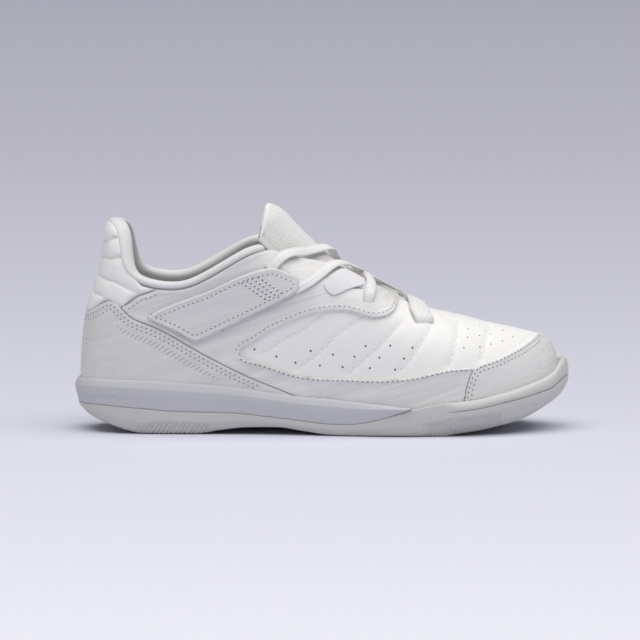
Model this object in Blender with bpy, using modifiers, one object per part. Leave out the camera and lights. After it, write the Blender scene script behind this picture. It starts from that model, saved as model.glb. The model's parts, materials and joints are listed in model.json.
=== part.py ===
"""Child's indoor soccer shoe, right foot, empty and standing on its sole.

Metres. +X runs to the toe, -Y is the outer (lateral) side, +Z is up. The origin is on the floor under the
middle of the heel's contact patch. Every piece takes its place from one function of the last, point_on_last.
"""

import math

import bmesh
import bpy
import numpy as np
from mathutils import Vector

# Sizes of the whole shoe
SHOE_LENGTH = 0.230
BALL_WIDTH = 0.0835
WAIST_WIDTH = 0.0600
HEEL_WIDTH = 0.0580
HEEL_SETBACK = 0.044
TOE_SWING = 0.004

# Heights above the floor
HEEL_TAB_HEIGHT = 0.0945
ANKLE_HEIGHT = 0.0663
COLLAR_FRONT_HEIGHT = 0.0835
THROAT_END_HEIGHT = 0.0556
TOE_HEIGHT = 0.0450
HEEL_FLOOR = 0.0170
BALL_FLOOR = 0.0100
TOE_FLOOR = 0.0220

# Openings of the upper
COLLAR_WIDTH = 0.0520
THROAT_WIDTH = 0.0260

# Walls and clearances
UPPER_WALL = 0.0020
PANEL_WALL = 0.0012
SEAM_GAP = 0.0003

# Sole
SOLE_LEDGE_HEEL = 0.0042
SOLE_LEDGE_TOE = 0.0060
MIDSOLE_HEIGHT = 0.0250
PARTING_HEIGHT = 0.0130
BUMPER_HEIGHT = 0.0335
HEEL_BEVEL = 0.0106
ARCH_RISE = 0.0034
TOE_SPRING = 0.0170
INSOLE_WALL = 0.0032


def spline(knots, values, at, closed_length=None):
    """Smooth cubic through values at knots, read at the places in at. With closed_length it runs round."""
    knots = np.asarray(knots, float)
    values = np.asarray(values, float)
    at = np.asarray(at, float)
    if closed_length is not None:
        around = 3
        knots = np.concatenate([knots[-around:] - closed_length, knots, knots[:around] + closed_length])
        values = np.concatenate([values[-around:], values, values[:around]])
        at = np.mod(at, closed_length)
    steps = np.diff(knots)
    count = len(knots)
    system = np.eye(count)
    right = np.zeros((count,) + values.shape[1:])
    slopes = (np.diff(values, axis=0).T / steps).T
    for i in range(1, count - 1):
        system[i, i - 1 : i + 2] = steps[i - 1], 2 * (steps[i - 1] + steps[i]), steps[i]
        right[i] = 6 * (slopes[i] - slopes[i - 1])
    bends = np.linalg.solve(system, right)
    cell = np.clip(np.searchsorted(knots, at, side="right") - 1, 0, count - 2)
    left = ((knots[cell + 1] - at) / steps[cell]).reshape(at.shape + (1,) * (values.ndim - 1))
    span = steps[cell].reshape(left.shape)
    rest = 1 - left
    return (
        left * values[cell]
        + rest * values[cell + 1]
        + ((left**3 - left) * bends[cell] + (rest**3 - rest) * bends[cell + 1]) * span**2 / 6
    )


def level_line(table, x):
    """Height along the shoe from rows of (x as a share of the length, height), without overshoot."""
    knots = np.array([row[0] for row in table]) * SHOE_LENGTH
    values = np.array([row[1] for row in table])
    slopes = np.diff(values) / np.diff(knots)
    ends = np.zeros(len(knots))
    for i in range(1, len(knots) - 1):
        if slopes[i - 1] * slopes[i] > 0:
            ends[i] = 2 / (1 / slopes[i - 1] + 1 / slopes[i])
    ends[0], ends[-1] = slopes[0], slopes[-1]
    x = np.clip(np.asarray(x, float), knots[0], knots[-1])
    cell = np.clip(np.searchsorted(knots, x, side="right") - 1, 0, len(knots) - 2)
    span = np.diff(knots)[cell]
    t = (x - knots[cell]) / span
    return (
        values[cell] * (1 + 2 * t) * (1 - t) ** 2
        + values[cell + 1] * t * t * (3 - 2 * t)
        + span * (ends[cell] * t * (1 - t) ** 2 - ends[cell + 1] * t * t * (1 - t))
    )


# Plan of the sole at its widest, from the back of the heel along the lateral side, round the toe and back.
# x as a share of the length, y as a share of the named width.
SOLE_PLAN = (
    (0.000, 0.000 * HEEL_WIDTH),
    (0.032, -0.345 * HEEL_WIDTH),
    (0.120, -0.497 * HEEL_WIDTH),
    (0.260, -0.510 * WAIST_WIDTH),
    (0.413, -0.550 * WAIST_WIDTH),
    (0.565, -0.467 * BALL_WIDTH),
    (0.674, -0.503 * BALL_WIDTH),
    (0.783, -0.479 * BALL_WIDTH),
    (0.891, -0.365 * BALL_WIDTH),
    (0.970, -0.170 * BALL_WIDTH),
    (1.000, 0.070 * BALL_WIDTH),
    (0.974, 0.270 * BALL_WIDTH),
    (0.904, 0.419 * BALL_WIDTH),
    (0.804, 0.497 * BALL_WIDTH),
    (0.696, 0.497 * BALL_WIDTH),
    (0.565, 0.413 * BALL_WIDTH),
    (0.413, 0.450 * WAIST_WIDTH),
    (0.260, 0.455 * WAIST_WIDTH),
    (0.120, 0.493 * HEEL_WIDTH),
    (0.032, 0.345 * HEEL_WIDTH),
)
TOE_ROW = 10

# Footbed under the insole
FLOOR_LINE = (
    (0.00, 1.03 * HEEL_FLOOR),
    (0.18, 0.97 * HEEL_FLOOR),
    (0.35, 0.82 * HEEL_FLOOR),
    (0.48, 1.15 * BALL_FLOOR),
    (0.62, 1.00 * BALL_FLOOR),
    (0.74, 1.00 * BALL_FLOOR),
    (0.83, 0.50 * TOE_FLOOR),
    (0.90, 0.62 * TOE_FLOOR),
    (0.95, 0.80 * TOE_FLOOR),
    (0.98, 0.94 * TOE_FLOOR),
    (1.00, 1.00 * TOE_FLOOR),
)

# Rim of the upper: the collar's topline from the heel tab, the throat's edge, then the crest of the vamp.
# Share of the way round from heel to toe, x as a share of the length, half the opening, height.
RIM = (
    (0.00, 0.067, 0.000 * COLLAR_WIDTH, 1.000 * HEEL_TAB_HEIGHT),
    (0.06, 0.082, 0.230 * COLLAR_WIDTH, 0.968 * HEEL_TAB_HEIGHT),
    (0.12, 0.098, 0.345 * COLLAR_WIDTH, 0.847 * HEEL_TAB_HEIGHT),
    (0.18, 0.126, 0.425 * COLLAR_WIDTH, 1.056 * ANKLE_HEIGHT),
    (0.24, 0.191, 0.480 * COLLAR_WIDTH, 1.000 * ANKLE_HEIGHT),
    (0.32, 0.261, 0.500 * COLLAR_WIDTH, 1.056 * ANKLE_HEIGHT),
    (0.40, 0.330, 0.500 * COLLAR_WIDTH, 0.946 * COLLAR_FRONT_HEIGHT),
    (0.47, 0.391, 0.420 * COLLAR_WIDTH, 1.000 * COLLAR_FRONT_HEIGHT),
    (0.53, 0.448, 0.620 * THROAT_WIDTH, 0.955 * COLLAR_FRONT_HEIGHT),
    (0.60, 0.528, 0.500 * THROAT_WIDTH, 0.905 * COLLAR_FRONT_HEIGHT),
    (0.66, 0.609, 0.350 * THROAT_WIDTH, 0.790 * COLLAR_FRONT_HEIGHT),
    (0.72, 0.674, 0.170 * THROAT_WIDTH, 1.062 * THROAT_END_HEIGHT),
    (0.77, 0.717, 0.000 * THROAT_WIDTH, 1.000 * THROAT_END_HEIGHT),
    (0.83, 0.774, 0.000 * THROAT_WIDTH, 0.950 * THROAT_END_HEIGHT),
    (0.89, 0.830, 0.000 * THROAT_WIDTH, 1.098 * TOE_HEIGHT),
    (0.95, 0.883, 0.000 * THROAT_WIDTH, 1.040 * TOE_HEIGHT),
    (1.00, 0.922, 0.000 * THROAT_WIDTH, 1.000 * TOE_HEIGHT),
)
THROAT_END = 0.77

# Lean of the wall at the ankle: how much of the way in it has gone at a quarter, a half and three quarters up.
ANKLE_LEAN = (
    (0.00, 0.06, 0.29, 0.82),
    (0.12, 0.00, 0.20, 0.65),
    (0.24, -0.10, 0.05, 0.45),
    (0.47, -0.02, 0.08, 0.35),
    (1.00, 0.00, 0.10, 0.40),
)

# Share of the round vamp kind of section, against the straight ankle kind
ROUNDNESS = (
    (0.00, 0.00),
    (0.32, 0.00),
    (0.47, 0.25),
    (0.60, 0.55),
    (0.72, 0.90),
    (0.77, 1.00),
    (1.00, 1.00),
)
VAMP_FULLNESS = 0.76
TOE_FALL = 0.30


def plan_curve():
    """Knots and points of the sole's plan, by the chord between rows, and its whole length."""
    points = np.array([(x * SHOE_LENGTH, y) for x, y in SOLE_PLAN])
    chords = np.linalg.norm(np.roll(points, -1, axis=0) - points, axis=1)
    knots = np.concatenate([[0], np.cumsum(chords)])
    return knots[:-1], points, knots[-1], knots[TOE_ROW]


def plan_point(around, side, inset=0.0):
    """Point of the sole's plan, around from heel 0 to toe 1 on a side (-1 lateral, 1 medial), moved inwards."""
    knots, points, length, toe = plan_curve()
    around = np.asarray(around, float)
    along = around * toe if side < 0 else length - around * (length - toe)
    step = 1e-4
    here = spline(knots, points, along, length)
    ahead = spline(knots, points, along + step, length) - spline(knots, points, along - step, length)
    inward = np.stack([-ahead[..., 1], ahead[..., 0]], axis=-1)
    inward /= np.linalg.norm(inward, axis=-1, keepdims=True)
    return here + inward * np.asarray(inset)[..., None]


def crest_y(x):
    """Sideways swing of the crest of the vamp towards the big toe."""
    share = np.clip((x / SHOE_LENGTH - 0.45) / 0.5, 0, 1)
    return TOE_SWING * share * share * (3 - 2 * share)


def rim_height(x):
    """Height of the rim or crest over a place along the shoe, falling on past the toe's last row."""
    last_x = RIM[-1][1] * SHOE_LENGTH
    return level_line([(row[1], row[3]) for row in RIM], x) - TOE_FALL * np.maximum(x - last_x, 0)


def rim_point(around, side):
    """Point of the rim or, past the throat, of the vamp's crest."""
    rows = np.array(RIM)
    values = spline(rows[:, 0], rows[:, 1:] * (SHOE_LENGTH, 1, 1), around)
    half = np.where(np.asarray(around) >= THROAT_END - 1e-9, 0.0, np.maximum(values[..., 1], 0))
    x = values[..., 0]
    return np.stack([x, crest_y(x) + side * half, values[..., 2]], axis=-1)


def upper_inset(around):
    """How far the foot of the upper stands in from the edge of the sole."""
    return SOLE_LEDGE_HEEL + (SOLE_LEDGE_TOE - SOLE_LEDGE_HEEL) * np.asarray(around, float) ** 2


def point_on_last(around, up, side):
    """Outer face of the upper: around 0 heel to 1 toe, up 0 footbed to 1 rim or crest."""
    around, up = np.broadcast_arrays(np.asarray(around, float), np.asarray(up, float))
    foot = plan_point(around, side, upper_inset(around))
    top = rim_point(around, side)
    floor = level_line(FLOOR_LINE, foot[..., 0])
    lean_rows = np.array(ANKLE_LEAN)
    quarters = spline(lean_rows[:, 0], lean_rows[:, 1:], around)
    ends = np.zeros_like(around), np.ones_like(around)
    columns = np.stack([ends[0], quarters[..., 0], quarters[..., 1], quarters[..., 2], ends[1]])
    levels = np.linspace(0, 1, 5)
    ankle_in = np.zeros_like(up)
    for index in np.ndindex(up.shape):
        ankle_in[index] = spline(levels, columns[(slice(None),) + index], up[index])
    turn = up * math.pi / 2
    vamp_in = 1 - np.cos(turn) ** VAMP_FULLNESS
    vamp_up = np.sin(turn) ** VAMP_FULLNESS
    blend_rows = np.array(ROUNDNESS)
    round_share = np.interp(around, blend_rows[:, 0], blend_rows[:, 1])
    inward = ankle_in + (vamp_in - ankle_in) * round_share
    upward = up + (vamp_up - up) * round_share
    ground = foot + (top[..., :2] - foot) * inward[..., None]
    ridge = top[..., 2] + (rim_height(ground[..., 0]) - top[..., 2]) * round_share
    return np.concatenate([ground, (floor + (ridge - floor) * upward)[..., None]], axis=-1)


# Everything below is built on one ring of stations round the last and the same rows up its wall.
STATIONS = 24
ROWS = 8
END_CROWDING = 0.45
MIDSOLE_END = 0.638


def stations(count=STATIONS):
    """Places from heel 0 to toe 1, closer together round the two ends, with one at the midsole's tip."""
    t = np.linspace(0, 1, count + 1)
    ring = t - END_CROWDING * np.sin(2 * math.pi * t) / (2 * math.pi)
    ring[np.abs(ring - MIDSOLE_END).argmin()] = MIDSOLE_END
    return ring


def lifted_point(around, up, side, lift):
    """Point at a distance lift off the outer face of the last."""
    around, up, lift = np.broadcast_arrays(
        np.asarray(around, float), np.asarray(up, float), np.asarray(lift, float)
    )
    step = 2e-3
    a = np.clip(around, step, 1 - step)
    u = np.clip(up, step, 1 - 6 * step)
    along = point_on_last(a + step, u, side) - point_on_last(a - step, u, side)
    rise = point_on_last(a, u + step, side) - point_on_last(a, u - step, side)
    normal = np.cross(along, rise) * -side
    normal /= np.linalg.norm(normal, axis=-1, keepdims=True)
    return point_on_last(around, up, side) + normal * lift[..., None]


def add_object(name, work, colour, roughness):
    """Put a closed or open mesh in the shoe's collection, in the part's own frame, with its own material."""
    for vertex in work.verts:
        vertex.co.x -= HEEL_SETBACK
    mesh = bpy.data.meshes.new(name)
    work.to_mesh(mesh)
    work.free()
    material = bpy.data.materials.new(name)
    material.use_nodes = True
    surface = material.node_tree.nodes["Principled BSDF"]
    surface.inputs["Base Color"].default_value = (*colour, 1.0)
    surface.inputs["Roughness"].default_value = roughness
    mesh.materials.append(material)
    piece = bpy.data.objects.new(name, mesh)
    bpy.data.collections["indoor_soccer_shoe"].objects.link(piece)
    return piece


def add_loft(name, sections, colour, roughness, caps=(True, True)):
    """Closed body through a row of closed sections; an end section that is folded flat needs no cap."""
    work = bmesh.new()
    rings = [[work.verts.new(point) for point in section] for section in sections]
    for here, ahead in zip(rings, rings[1:]):
        for i, vertex in enumerate(here):
            j = (i + 1) % len(here)
            work.faces.new((vertex, here[j], ahead[j], ahead[i]))
    if caps[0]:
        work.faces.new(rings[0][::-1])
    if caps[1]:
        work.faces.new(rings[-1])
    bmesh.ops.remove_doubles(work, verts=work.verts, dist=1e-5)
    bmesh.ops.triangulate(work, faces=work.faces, quad_method="FIXED", ngon_method="EAR_CLIP")
    bmesh.ops.recalc_face_normals(work, faces=work.faces)
    if work.calc_volume(signed=True) < 0:
        bmesh.ops.reverse_faces(work, faces=work.faces)
    return add_object(name, work, colour, roughness)


def add_wall(name, lift, thickness, outward, colour, roughness):
    """Wall over the whole last, lift off it: one mesh of the last's face, thickened with Solidify."""
    work = bmesh.new()
    lateral = [(a, -1) for a in stations()]
    medial = [(a, 1) for a in stations()[-2:0:-1]]
    ups = np.linspace(0, 1, ROWS + 1)
    columns = []
    for around, side in lateral + medial:
        points = point_on_last(around, ups, side)
        columns.append([work.verts.new(point) for point in points])
    for i, here in enumerate(columns):
        ahead = columns[(i + 1) % len(columns)]
        for low in range(ROWS):
            work.faces.new((here[low], ahead[low], ahead[low + 1], here[low + 1]))
    crest = [v for v in work.verts if v.co.x >= rim_point(THROAT_END, 1)[0] - 1e-5]
    bmesh.ops.remove_doubles(work, verts=crest, dist=1e-5)
    bmesh.ops.triangulate(work, faces=work.faces, quad_method="FIXED")
    bmesh.ops.recalc_face_normals(work, faces=work.faces)
    work.normal_update()
    for vertex in work.verts:
        vertex.co += vertex.normal * lift
    piece = add_object(name, work, colour, roughness)
    wall = piece.modifiers.new("wall", "SOLIDIFY")
    wall.thickness = thickness
    wall.offset = 1.0 if outward else -1.0
    wall.use_even_offset = False
    return piece


def side_points(rows, shift_x=0.0, rise=0.0):
    """Side-view points from rows of (x as a share of the length, height as a share from footbed to rim)."""
    points = []
    for x_share, height_share in rows:
        x = x_share * SHOE_LENGTH
        low = float(level_line(FLOOR_LINE, x))
        high = float(rim_height(x))
        points.append((x + shift_x, low + (high - low) * height_share + rise))
    return points


def add_cutter(name, outline, y_from, y_to):
    """Closed prism of a side-view outline, kept out of the part."""
    work = bmesh.new()
    near = [work.verts.new((x, y_from, z)) for x, z in outline]
    far = [work.verts.new((x, y_to, z)) for x, z in outline]
    work.faces.new(near)
    work.faces.new(far[::-1])
    for i, vertex in enumerate(near):
        j = (i + 1) % len(near)
        work.faces.new((near[j], vertex, far[i], far[j]))
    bmesh.ops.triangulate(work, faces=work.faces, ngon_method="EAR_CLIP")
    bmesh.ops.recalc_face_normals(work, faces=work.faces)
    cutter = add_object(name, work, (0.5, 0.5, 0.5), 1.0)
    bpy.data.collections["indoor_soccer_shoe"].objects.unlink(cutter)
    bpy.data.collections["cutters"].objects.link(cutter)
    cutter.hide_render = True
    cutter.display_type = "WIRE"
    return cutter


def apply_boolean(piece, operation, cutter):
    """Exact cut of a piece by a prism, or its intersection with it."""
    cut = piece.modifiers.new(cutter.name, "BOOLEAN")
    cut.operation = operation
    cut.object = cutter
    cut.solver = "EXACT"


# Side-view outlines: x as a share of the length, height as a share from footbed to rim or crest.
# A cut runs clear of the upper from ABOVE its rim to BELOW its foot.
ABOVE = 1.3
BELOW = -0.5
COUNTER_EDGE = (
    (-0.020, 0.465),
    (0.020, 0.470),
    (0.054, 0.520),
    (0.078, 0.575),
    (0.116, 0.670),
    (0.155, 0.655),
    (0.196, 0.585),
    (0.245, 0.440),
    (0.296, 0.300),
    (0.376, 0.155),
    (0.442, 0.090),
)
COUNTER_FOOT = (
    (0.470, 0.020),
    (0.480, BELOW),
)
QUARTER_REAR_SEAM = (
    (0.112, 0.700),
    (0.130, 0.830),
    (0.156, 0.910),
    (0.176, 1.000),
)
WINDOW_TOP = (
    (0.655, ABOVE),
    (0.650, 0.980),
    (0.640, 0.880),
    (0.621, 0.810),
    (0.602, 0.775),
    (0.555, 0.745),
    (0.516, 0.710),
    (0.476, 0.665),
    (0.436, 0.590),
    (0.396, 0.500),
    (0.356, 0.420),
    (0.336, 0.380),
)
WINDOW_BOTTOM = (
    (0.333, 0.345),
    (0.342, 0.320),
    (0.376, 0.280),
    (0.416, 0.250),
    (0.476, 0.230),
    (0.535, 0.245),
    (0.615, 0.290),
    (0.694, 0.375),
    (0.754, 0.465),
    (0.797, 0.515),
)
TOE_SEAM = (
    (0.797, 0.460),
    (0.788, 0.310),
    (0.783, 0.180),
    (0.777, BELOW),
)
TOE_CAP_TOP = (
    (0.815, 0.545),
    (0.856, 0.650),
    (0.897, 0.770),
    (0.920, 0.860),
    (0.933, 0.950),
    (0.938, ABOVE),
)
STRAP_OUTLINE = (
    (0.152, 0.721),
    (0.156, 0.755),
    (0.170, 0.800),
    (0.192, 0.854),
    (0.233, 0.900),
    (0.273, 0.909),
    (0.314, 0.898),
    (0.354, 0.898),
    (0.403, 0.898),
    (0.435, 0.885),
    (0.450, 0.868),
    (0.452, 0.820),
    (0.436, 0.745),
    (0.415, 0.697),
    (0.374, 0.620),
    (0.334, 0.583),
    (0.293, 0.554),
    (0.256, 0.520),
    (0.243, 0.519),
    (0.234, 0.545),
    (0.212, 0.617),
    (0.192, 0.662),
    (0.172, 0.695),
)
WEBBING_OUTLINE = (
    (0.502, 0.850),
    (0.520, 0.905),
    (0.545, 0.975),
    (0.576, 0.960),
    (0.574, 0.900),
    (0.536, 0.835),
    (0.516, 0.815),
)
STRAP_WALL = 0.0018
WEBBING_WALL = 0.0009

# Grooves of the heel pad, as shares from its lower edge to the collar
PAD_GROOVES = (0.00, 0.28, 0.46, 0.64, 0.85, 1.00)
PAD_EDGE = COUNTER_EDGE[:5] + QUARTER_REAR_SEAM[1:]
PAD_END = 0.205
PAD_CLEARANCE = 0.0007
PAD_CREST = 0.0026
PAD_GROOVE = 0.0009

# Rolled collar: how far its middle sits above and inside the rim, and half its height and width
ROLL_RISE = 0.0026
ROLL_IN = 0.0015
ROLL_HALF_HEIGHT = 0.0021
ROLL_HALF_WIDTH = 0.0034
ROLL_END = 0.460
ROLL_TAPER = 0.55
ROLL_SIDES = 8


def build_upper():
    add_wall("upper", 0.0, UPPER_WALL, False, (0.80, 0.80, 0.80), 0.75)


def build_panel(name, lift, thickness, outline, y_from, y_to, colour, roughness):
    """Panel with a wall of its own over the upper, cut out of it along a side-view outline."""
    panel = add_wall(name, lift, thickness, True, colour, roughness)
    cutter = add_cutter(name + "_outline", outline, y_from, y_to)
    apply_boolean(panel, "INTERSECT", cutter)
    return panel


def build_panels():
    far = BALL_WIDTH
    middle = 0.1 * SEAM_GAP
    seam = 1.5 * SEAM_GAP
    counter = side_points(list(COUNTER_EDGE) + list(COUNTER_FOOT) + [(-0.020, BELOW)])
    build_panel("heel_counter", SEAM_GAP, PANEL_WALL, counter, -far, far, (0.55, 0.55, 0.57), 0.55)
    front = side_points(list(WINDOW_BOTTOM) + list(TOE_SEAM), shift_x=-seam)
    edge = list(COUNTER_FOOT[::-1]) + list(COUNTER_EDGE[:3:-1])
    back = side_points(edge, rise=seam) + side_points(QUARTER_REAR_SEAM, shift_x=seam)
    top = side_points([(x_share, ABOVE) for x_share in (0.176, 0.300, 0.420)]) + side_points(WINDOW_TOP)
    quarter = top + front + back
    build_panel("quarter_lateral", SEAM_GAP, PANEL_WALL, quarter, -far, -middle, (0.66, 0.66, 0.68), 0.42)
    build_panel("quarter_medial", SEAM_GAP, PANEL_WALL, quarter, far, middle, (0.66, 0.66, 0.68), 0.42)
    past_toe = [(1.05, ABOVE), (1.05, BELOW)]
    cap = side_points(list(TOE_SEAM[::-1]) + list(TOE_CAP_TOP) + past_toe, shift_x=seam)
    build_panel("toe_cap", SEAM_GAP, PANEL_WALL, cap, -far, far, (0.74, 0.74, 0.75), 0.45)
    over = 2 * SEAM_GAP + PANEL_WALL
    strap = side_points(STRAP_OUTLINE)
    build_panel("strap", over, STRAP_WALL, strap, -far, -middle, (0.72, 0.72, 0.73), 0.50)
    webbing = side_points(WEBBING_OUTLINE)
    build_panel("webbing_loop", over, WEBBING_WALL, webbing, -far, -middle, (0.62, 0.60, 0.70), 0.70)


def build_heel_pad():
    """Soft pad of five pillows round the back of the heel, under the collar."""
    ring = stations()
    side_ring = np.append(ring[(ring > 0) & (ring < PAD_END - 0.01)], PAD_END)
    columns = [(a, -1) for a in side_ring[::-1]] + [(0.0, -1)] + [(a, 1) for a in side_ring]
    levels = []
    for low, high in zip(PAD_GROOVES, PAD_GROOVES[1:]):
        levels += [(low, 0.0), (low + 0.3 * (high - low), 1.0), (low + 0.7 * (high - low), 1.0)]
    levels.append((1.0, 0.0))
    edge_x, edge_z = np.array(side_points(PAD_EDGE, shift_x=-PAD_CLEARANCE / 2, rise=PAD_CLEARANCE)).T
    sections = []
    for around, side in columns:
        low = 0.5
        foot_z = point_on_last(around, 0.0, side)[2]
        rim_z = point_on_last(around, 1.0, side)[2]
        for _ in range(12):
            edge = float(np.interp(point_on_last(around, low, side)[0], edge_x, edge_z))
            low = min(0.97, (edge - foot_z) / (rim_z - foot_z))
        taper = min(1.0, 0.35 + (1.0 - low) / 0.4)
        share = np.array([row[0] for row in levels])
        bulge = np.array([row[1] for row in levels])
        ups = low + (1.0 - low) * share
        skin = PAD_GROOVE + (PAD_CREST - PAD_GROOVE) * bulge * taper
        outer = lifted_point(around, ups, side, SEAM_GAP + skin)
        inner = lifted_point(around, ups[::-3], side, SEAM_GAP)
        sections.append(np.concatenate([outer, inner]))
    add_loft("heel_pad", sections, (0.66, 0.66, 0.68), 0.60)


def build_collar():
    """Knit roll that runs along the topline from the throat round the heel to the throat."""
    ring = stations()
    side_ring = np.append(ring[(ring > 0) & (ring < ROLL_END - 0.01)], ROLL_END)
    columns = [(a, -1) for a in side_ring[::-1]] + [(0.0, -1)] + [(a, 1) for a in side_ring]
    path = np.array([rim_point(around, side) for around, side in columns])
    ahead = np.gradient(path, axis=0)
    ahead /= np.linalg.norm(ahead, axis=1, keepdims=True)
    sections = []
    for (around, side), point, along in zip(columns, path, ahead):
        outward = np.array([-along[1], along[0], 0.0])
        outward /= np.linalg.norm(outward)
        upward = np.cross(outward, along)
        upward *= np.sign(upward[2])
        size = ROLL_TAPER if around == ROLL_END else 1.0
        middle = point + upward * (SEAM_GAP + (ROLL_RISE - SEAM_GAP) * size) - outward * ROLL_IN
        ring_points = []
        for k in range(ROLL_SIDES):
            turn = 2 * math.pi * (k + 0.5) / ROLL_SIDES
            sideways = outward * ROLL_HALF_WIDTH * size * math.cos(turn)
            ring_points.append(middle + sideways + upward * ROLL_HALF_HEIGHT * size * math.sin(turn))
        sections.append(ring_points)
    add_loft("collar_lining", sections, (0.82, 0.82, 0.83), 0.85)


# Tongue: x as a share of the length, height of its middle, half width, drop of its edges, thickness
TONGUE = (
    (0.683, 0.960 * THROAT_END_HEIGHT, 0.0120, 0.0050, 0.0020),
    (0.652, 1.050 * THROAT_END_HEIGHT, 0.0130, 0.0065, 0.0024),
    (0.596, 1.228 * THROAT_END_HEIGHT, 0.0150, 0.0090, 0.0030),
    (0.530, 0.933 * COLLAR_FRONT_HEIGHT, 0.0155, 0.0125, 0.0034),
    (0.494, 1.020 * COLLAR_FRONT_HEIGHT, 0.0150, 0.0135, 0.0038),
    (0.443, 1.160 * COLLAR_FRONT_HEIGHT, 0.0160, 0.0150, 0.0045),
    (0.418, 1.228 * COLLAR_FRONT_HEIGHT, 0.0168, 0.0150, 0.0045),
    (0.402, 1.252 * COLLAR_FRONT_HEIGHT, 0.0170, 0.0152, 0.0040),
    (0.387, 1.263 * COLLAR_FRONT_HEIGHT, 0.0160, 0.0150, 0.0030),
)
TONGUE_COLUMNS = 7


def build_tongue():
    """Arched padded plate that rises from under the end of the throat to above the collar."""
    rows = np.array(TONGUE)
    middles = rows[:, :2] * (SHOE_LENGTH, 1)
    slopes = np.gradient(middles, axis=0)
    slopes /= np.linalg.norm(slopes, axis=1, keepdims=True)
    sections = []
    for (x, z), (slope_x, slope_z), row in zip(middles, slopes, rows):
        below = np.array([slope_z, -slope_x])
        below *= -np.sign(below[1])
        across = np.linspace(-1, 1, TONGUE_COLUMNS)
        top = []
        bottom = []
        for t in across:
            y = crest_y(x) + t * row[2]
            skin = row[4] * (1 - 0.45 * t**4)
            drop = row[3] * t * t
            top.append((x + below[0] * drop, y, z + below[1] * drop))
            deep = drop + skin
            bottom.append((x + below[0] * deep, y, z + below[1] * deep))
        sections.append(top + bottom[::-1])
    add_loft("tongue", sections, (0.86, 0.86, 0.88), 0.80)


# Underside, parting line and top edges of the sole along the shoe
BOTTOM_LINE = (
    (0.000, 1.12 * HEEL_BEVEL),
    (0.012, 1.00 * HEEL_BEVEL),
    (0.036, 0.69 * HEEL_BEVEL),
    (0.071, 0.40 * HEEL_BEVEL),
    (0.111, 0.13 * HEEL_BEVEL),
    (0.143, 0.00 * HEEL_BEVEL),
    (0.246, 0.00 * ARCH_RISE),
    (0.293, 0.50 * ARCH_RISE),
    (0.350, 0.93 * ARCH_RISE),
    (0.410, 1.00 * ARCH_RISE),
    (0.460, 0.55 * ARCH_RISE),
    (0.530, 0.00 * ARCH_RISE),
    (0.735, 0.00 * TOE_SPRING),
    (0.770, 0.06 * TOE_SPRING),
    (0.819, 0.15 * TOE_SPRING),
    (0.860, 0.26 * TOE_SPRING),
    (0.900, 0.39 * TOE_SPRING),
    (0.941, 0.62 * TOE_SPRING),
    (0.976, 0.88 * TOE_SPRING),
    (1.000, 1.15 * TOE_SPRING),
)
OUTSOLE_TOP = (
    (0.000, 1.00 * PARTING_HEIGHT),
    (0.050, 1.02 * PARTING_HEIGHT),
    (0.091, 0.98 * PARTING_HEIGHT),
    (0.152, 0.90 * PARTING_HEIGHT),
    (0.212, 0.82 * PARTING_HEIGHT),
    (0.313, 0.78 * PARTING_HEIGHT),
    (0.394, 0.65 * PARTING_HEIGHT),
    (0.455, 0.53 * PARTING_HEIGHT),
    (0.510, 0.43 * PARTING_HEIGHT),
    (0.546, 0.42 * PARTING_HEIGHT),
    (0.580, 0.48 * PARTING_HEIGHT),
    (0.616, 0.63 * PARTING_HEIGHT),
    (0.657, 0.86 * PARTING_HEIGHT),
    (0.674, 0.96 * PARTING_HEIGHT),
    (0.700, 0.41 * BUMPER_HEIGHT),
    (0.736, 0.46 * BUMPER_HEIGHT),
    (0.800, 0.50 * BUMPER_HEIGHT),
    (0.840, 0.55 * BUMPER_HEIGHT),
    (0.880, 0.61 * BUMPER_HEIGHT),
    (0.920, 0.69 * BUMPER_HEIGHT),
    (0.960, 0.79 * BUMPER_HEIGHT),
    (0.986, 0.98 * BUMPER_HEIGHT),
    (1.000, 1.03 * BUMPER_HEIGHT),
)
MIDSOLE_TOP = (
    (0.000, 0.970 * MIDSOLE_HEIGHT),
    (0.050, 1.010 * MIDSOLE_HEIGHT),
    (0.150, 1.000 * MIDSOLE_HEIGHT),
    (0.250, 0.940 * MIDSOLE_HEIGHT),
    (0.313, 0.895 * MIDSOLE_HEIGHT),
    (0.394, 0.790 * MIDSOLE_HEIGHT),
    (0.455, 0.725 * MIDSOLE_HEIGHT),
    (0.520, 0.680 * MIDSOLE_HEIGHT),
    (0.580, 0.625 * MIDSOLE_HEIGHT),
    (0.640, 0.570 * MIDSOLE_HEIGHT),
    (0.674, 0.535 * MIDSOLE_HEIGHT),
    (1.000, 0.535 * MIDSOLE_HEIGHT),
)

# Side of the outsole from its lower edge up: height share, inset at the heel, inset at the toe
OUTSOLE_SIDE = (
    (0.00, 0.0052, 0.0060),
    (0.14, 0.0028, 0.0026),
    (0.42, 0.0019, 0.0002),
    (0.60, 0.0017, 0.0000),
    (0.64, 0.0017, 0.0008),
    (0.70, 0.0017, 0.0002),
    (0.90, 0.0017, 0.0010),
    (1.00, 0.0017, 0.0032),
)
BEAD_START = 0.62
BEAD_FULL = 0.80

# Side of the midsole from the parting line up: height share, inset
MIDSOLE_SIDE = (
    (0.00, 0.0017),
    (0.48, 0.0000),
    (0.72, 0.0002),
    (1.00, 0.0014),
)
MIDSOLE_TIP = 0.0008
PARTING_WALL = 0.0020
CUP_CLEARANCE = 0.0005
BED_COLUMNS = (0.25, 0.5, 0.75)


def cup_inset(around):
    """Inner face of the sole's cup: clear of the panels that lie on the upper."""
    return upper_inset(around) - SEAM_GAP - PANEL_WALL - CUP_CLEARANCE


def bed_height(x):
    """Top of the sole inside the cup, just under the upper's lower edge."""
    return level_line(FLOOR_LINE, x) - SEAM_GAP


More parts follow.
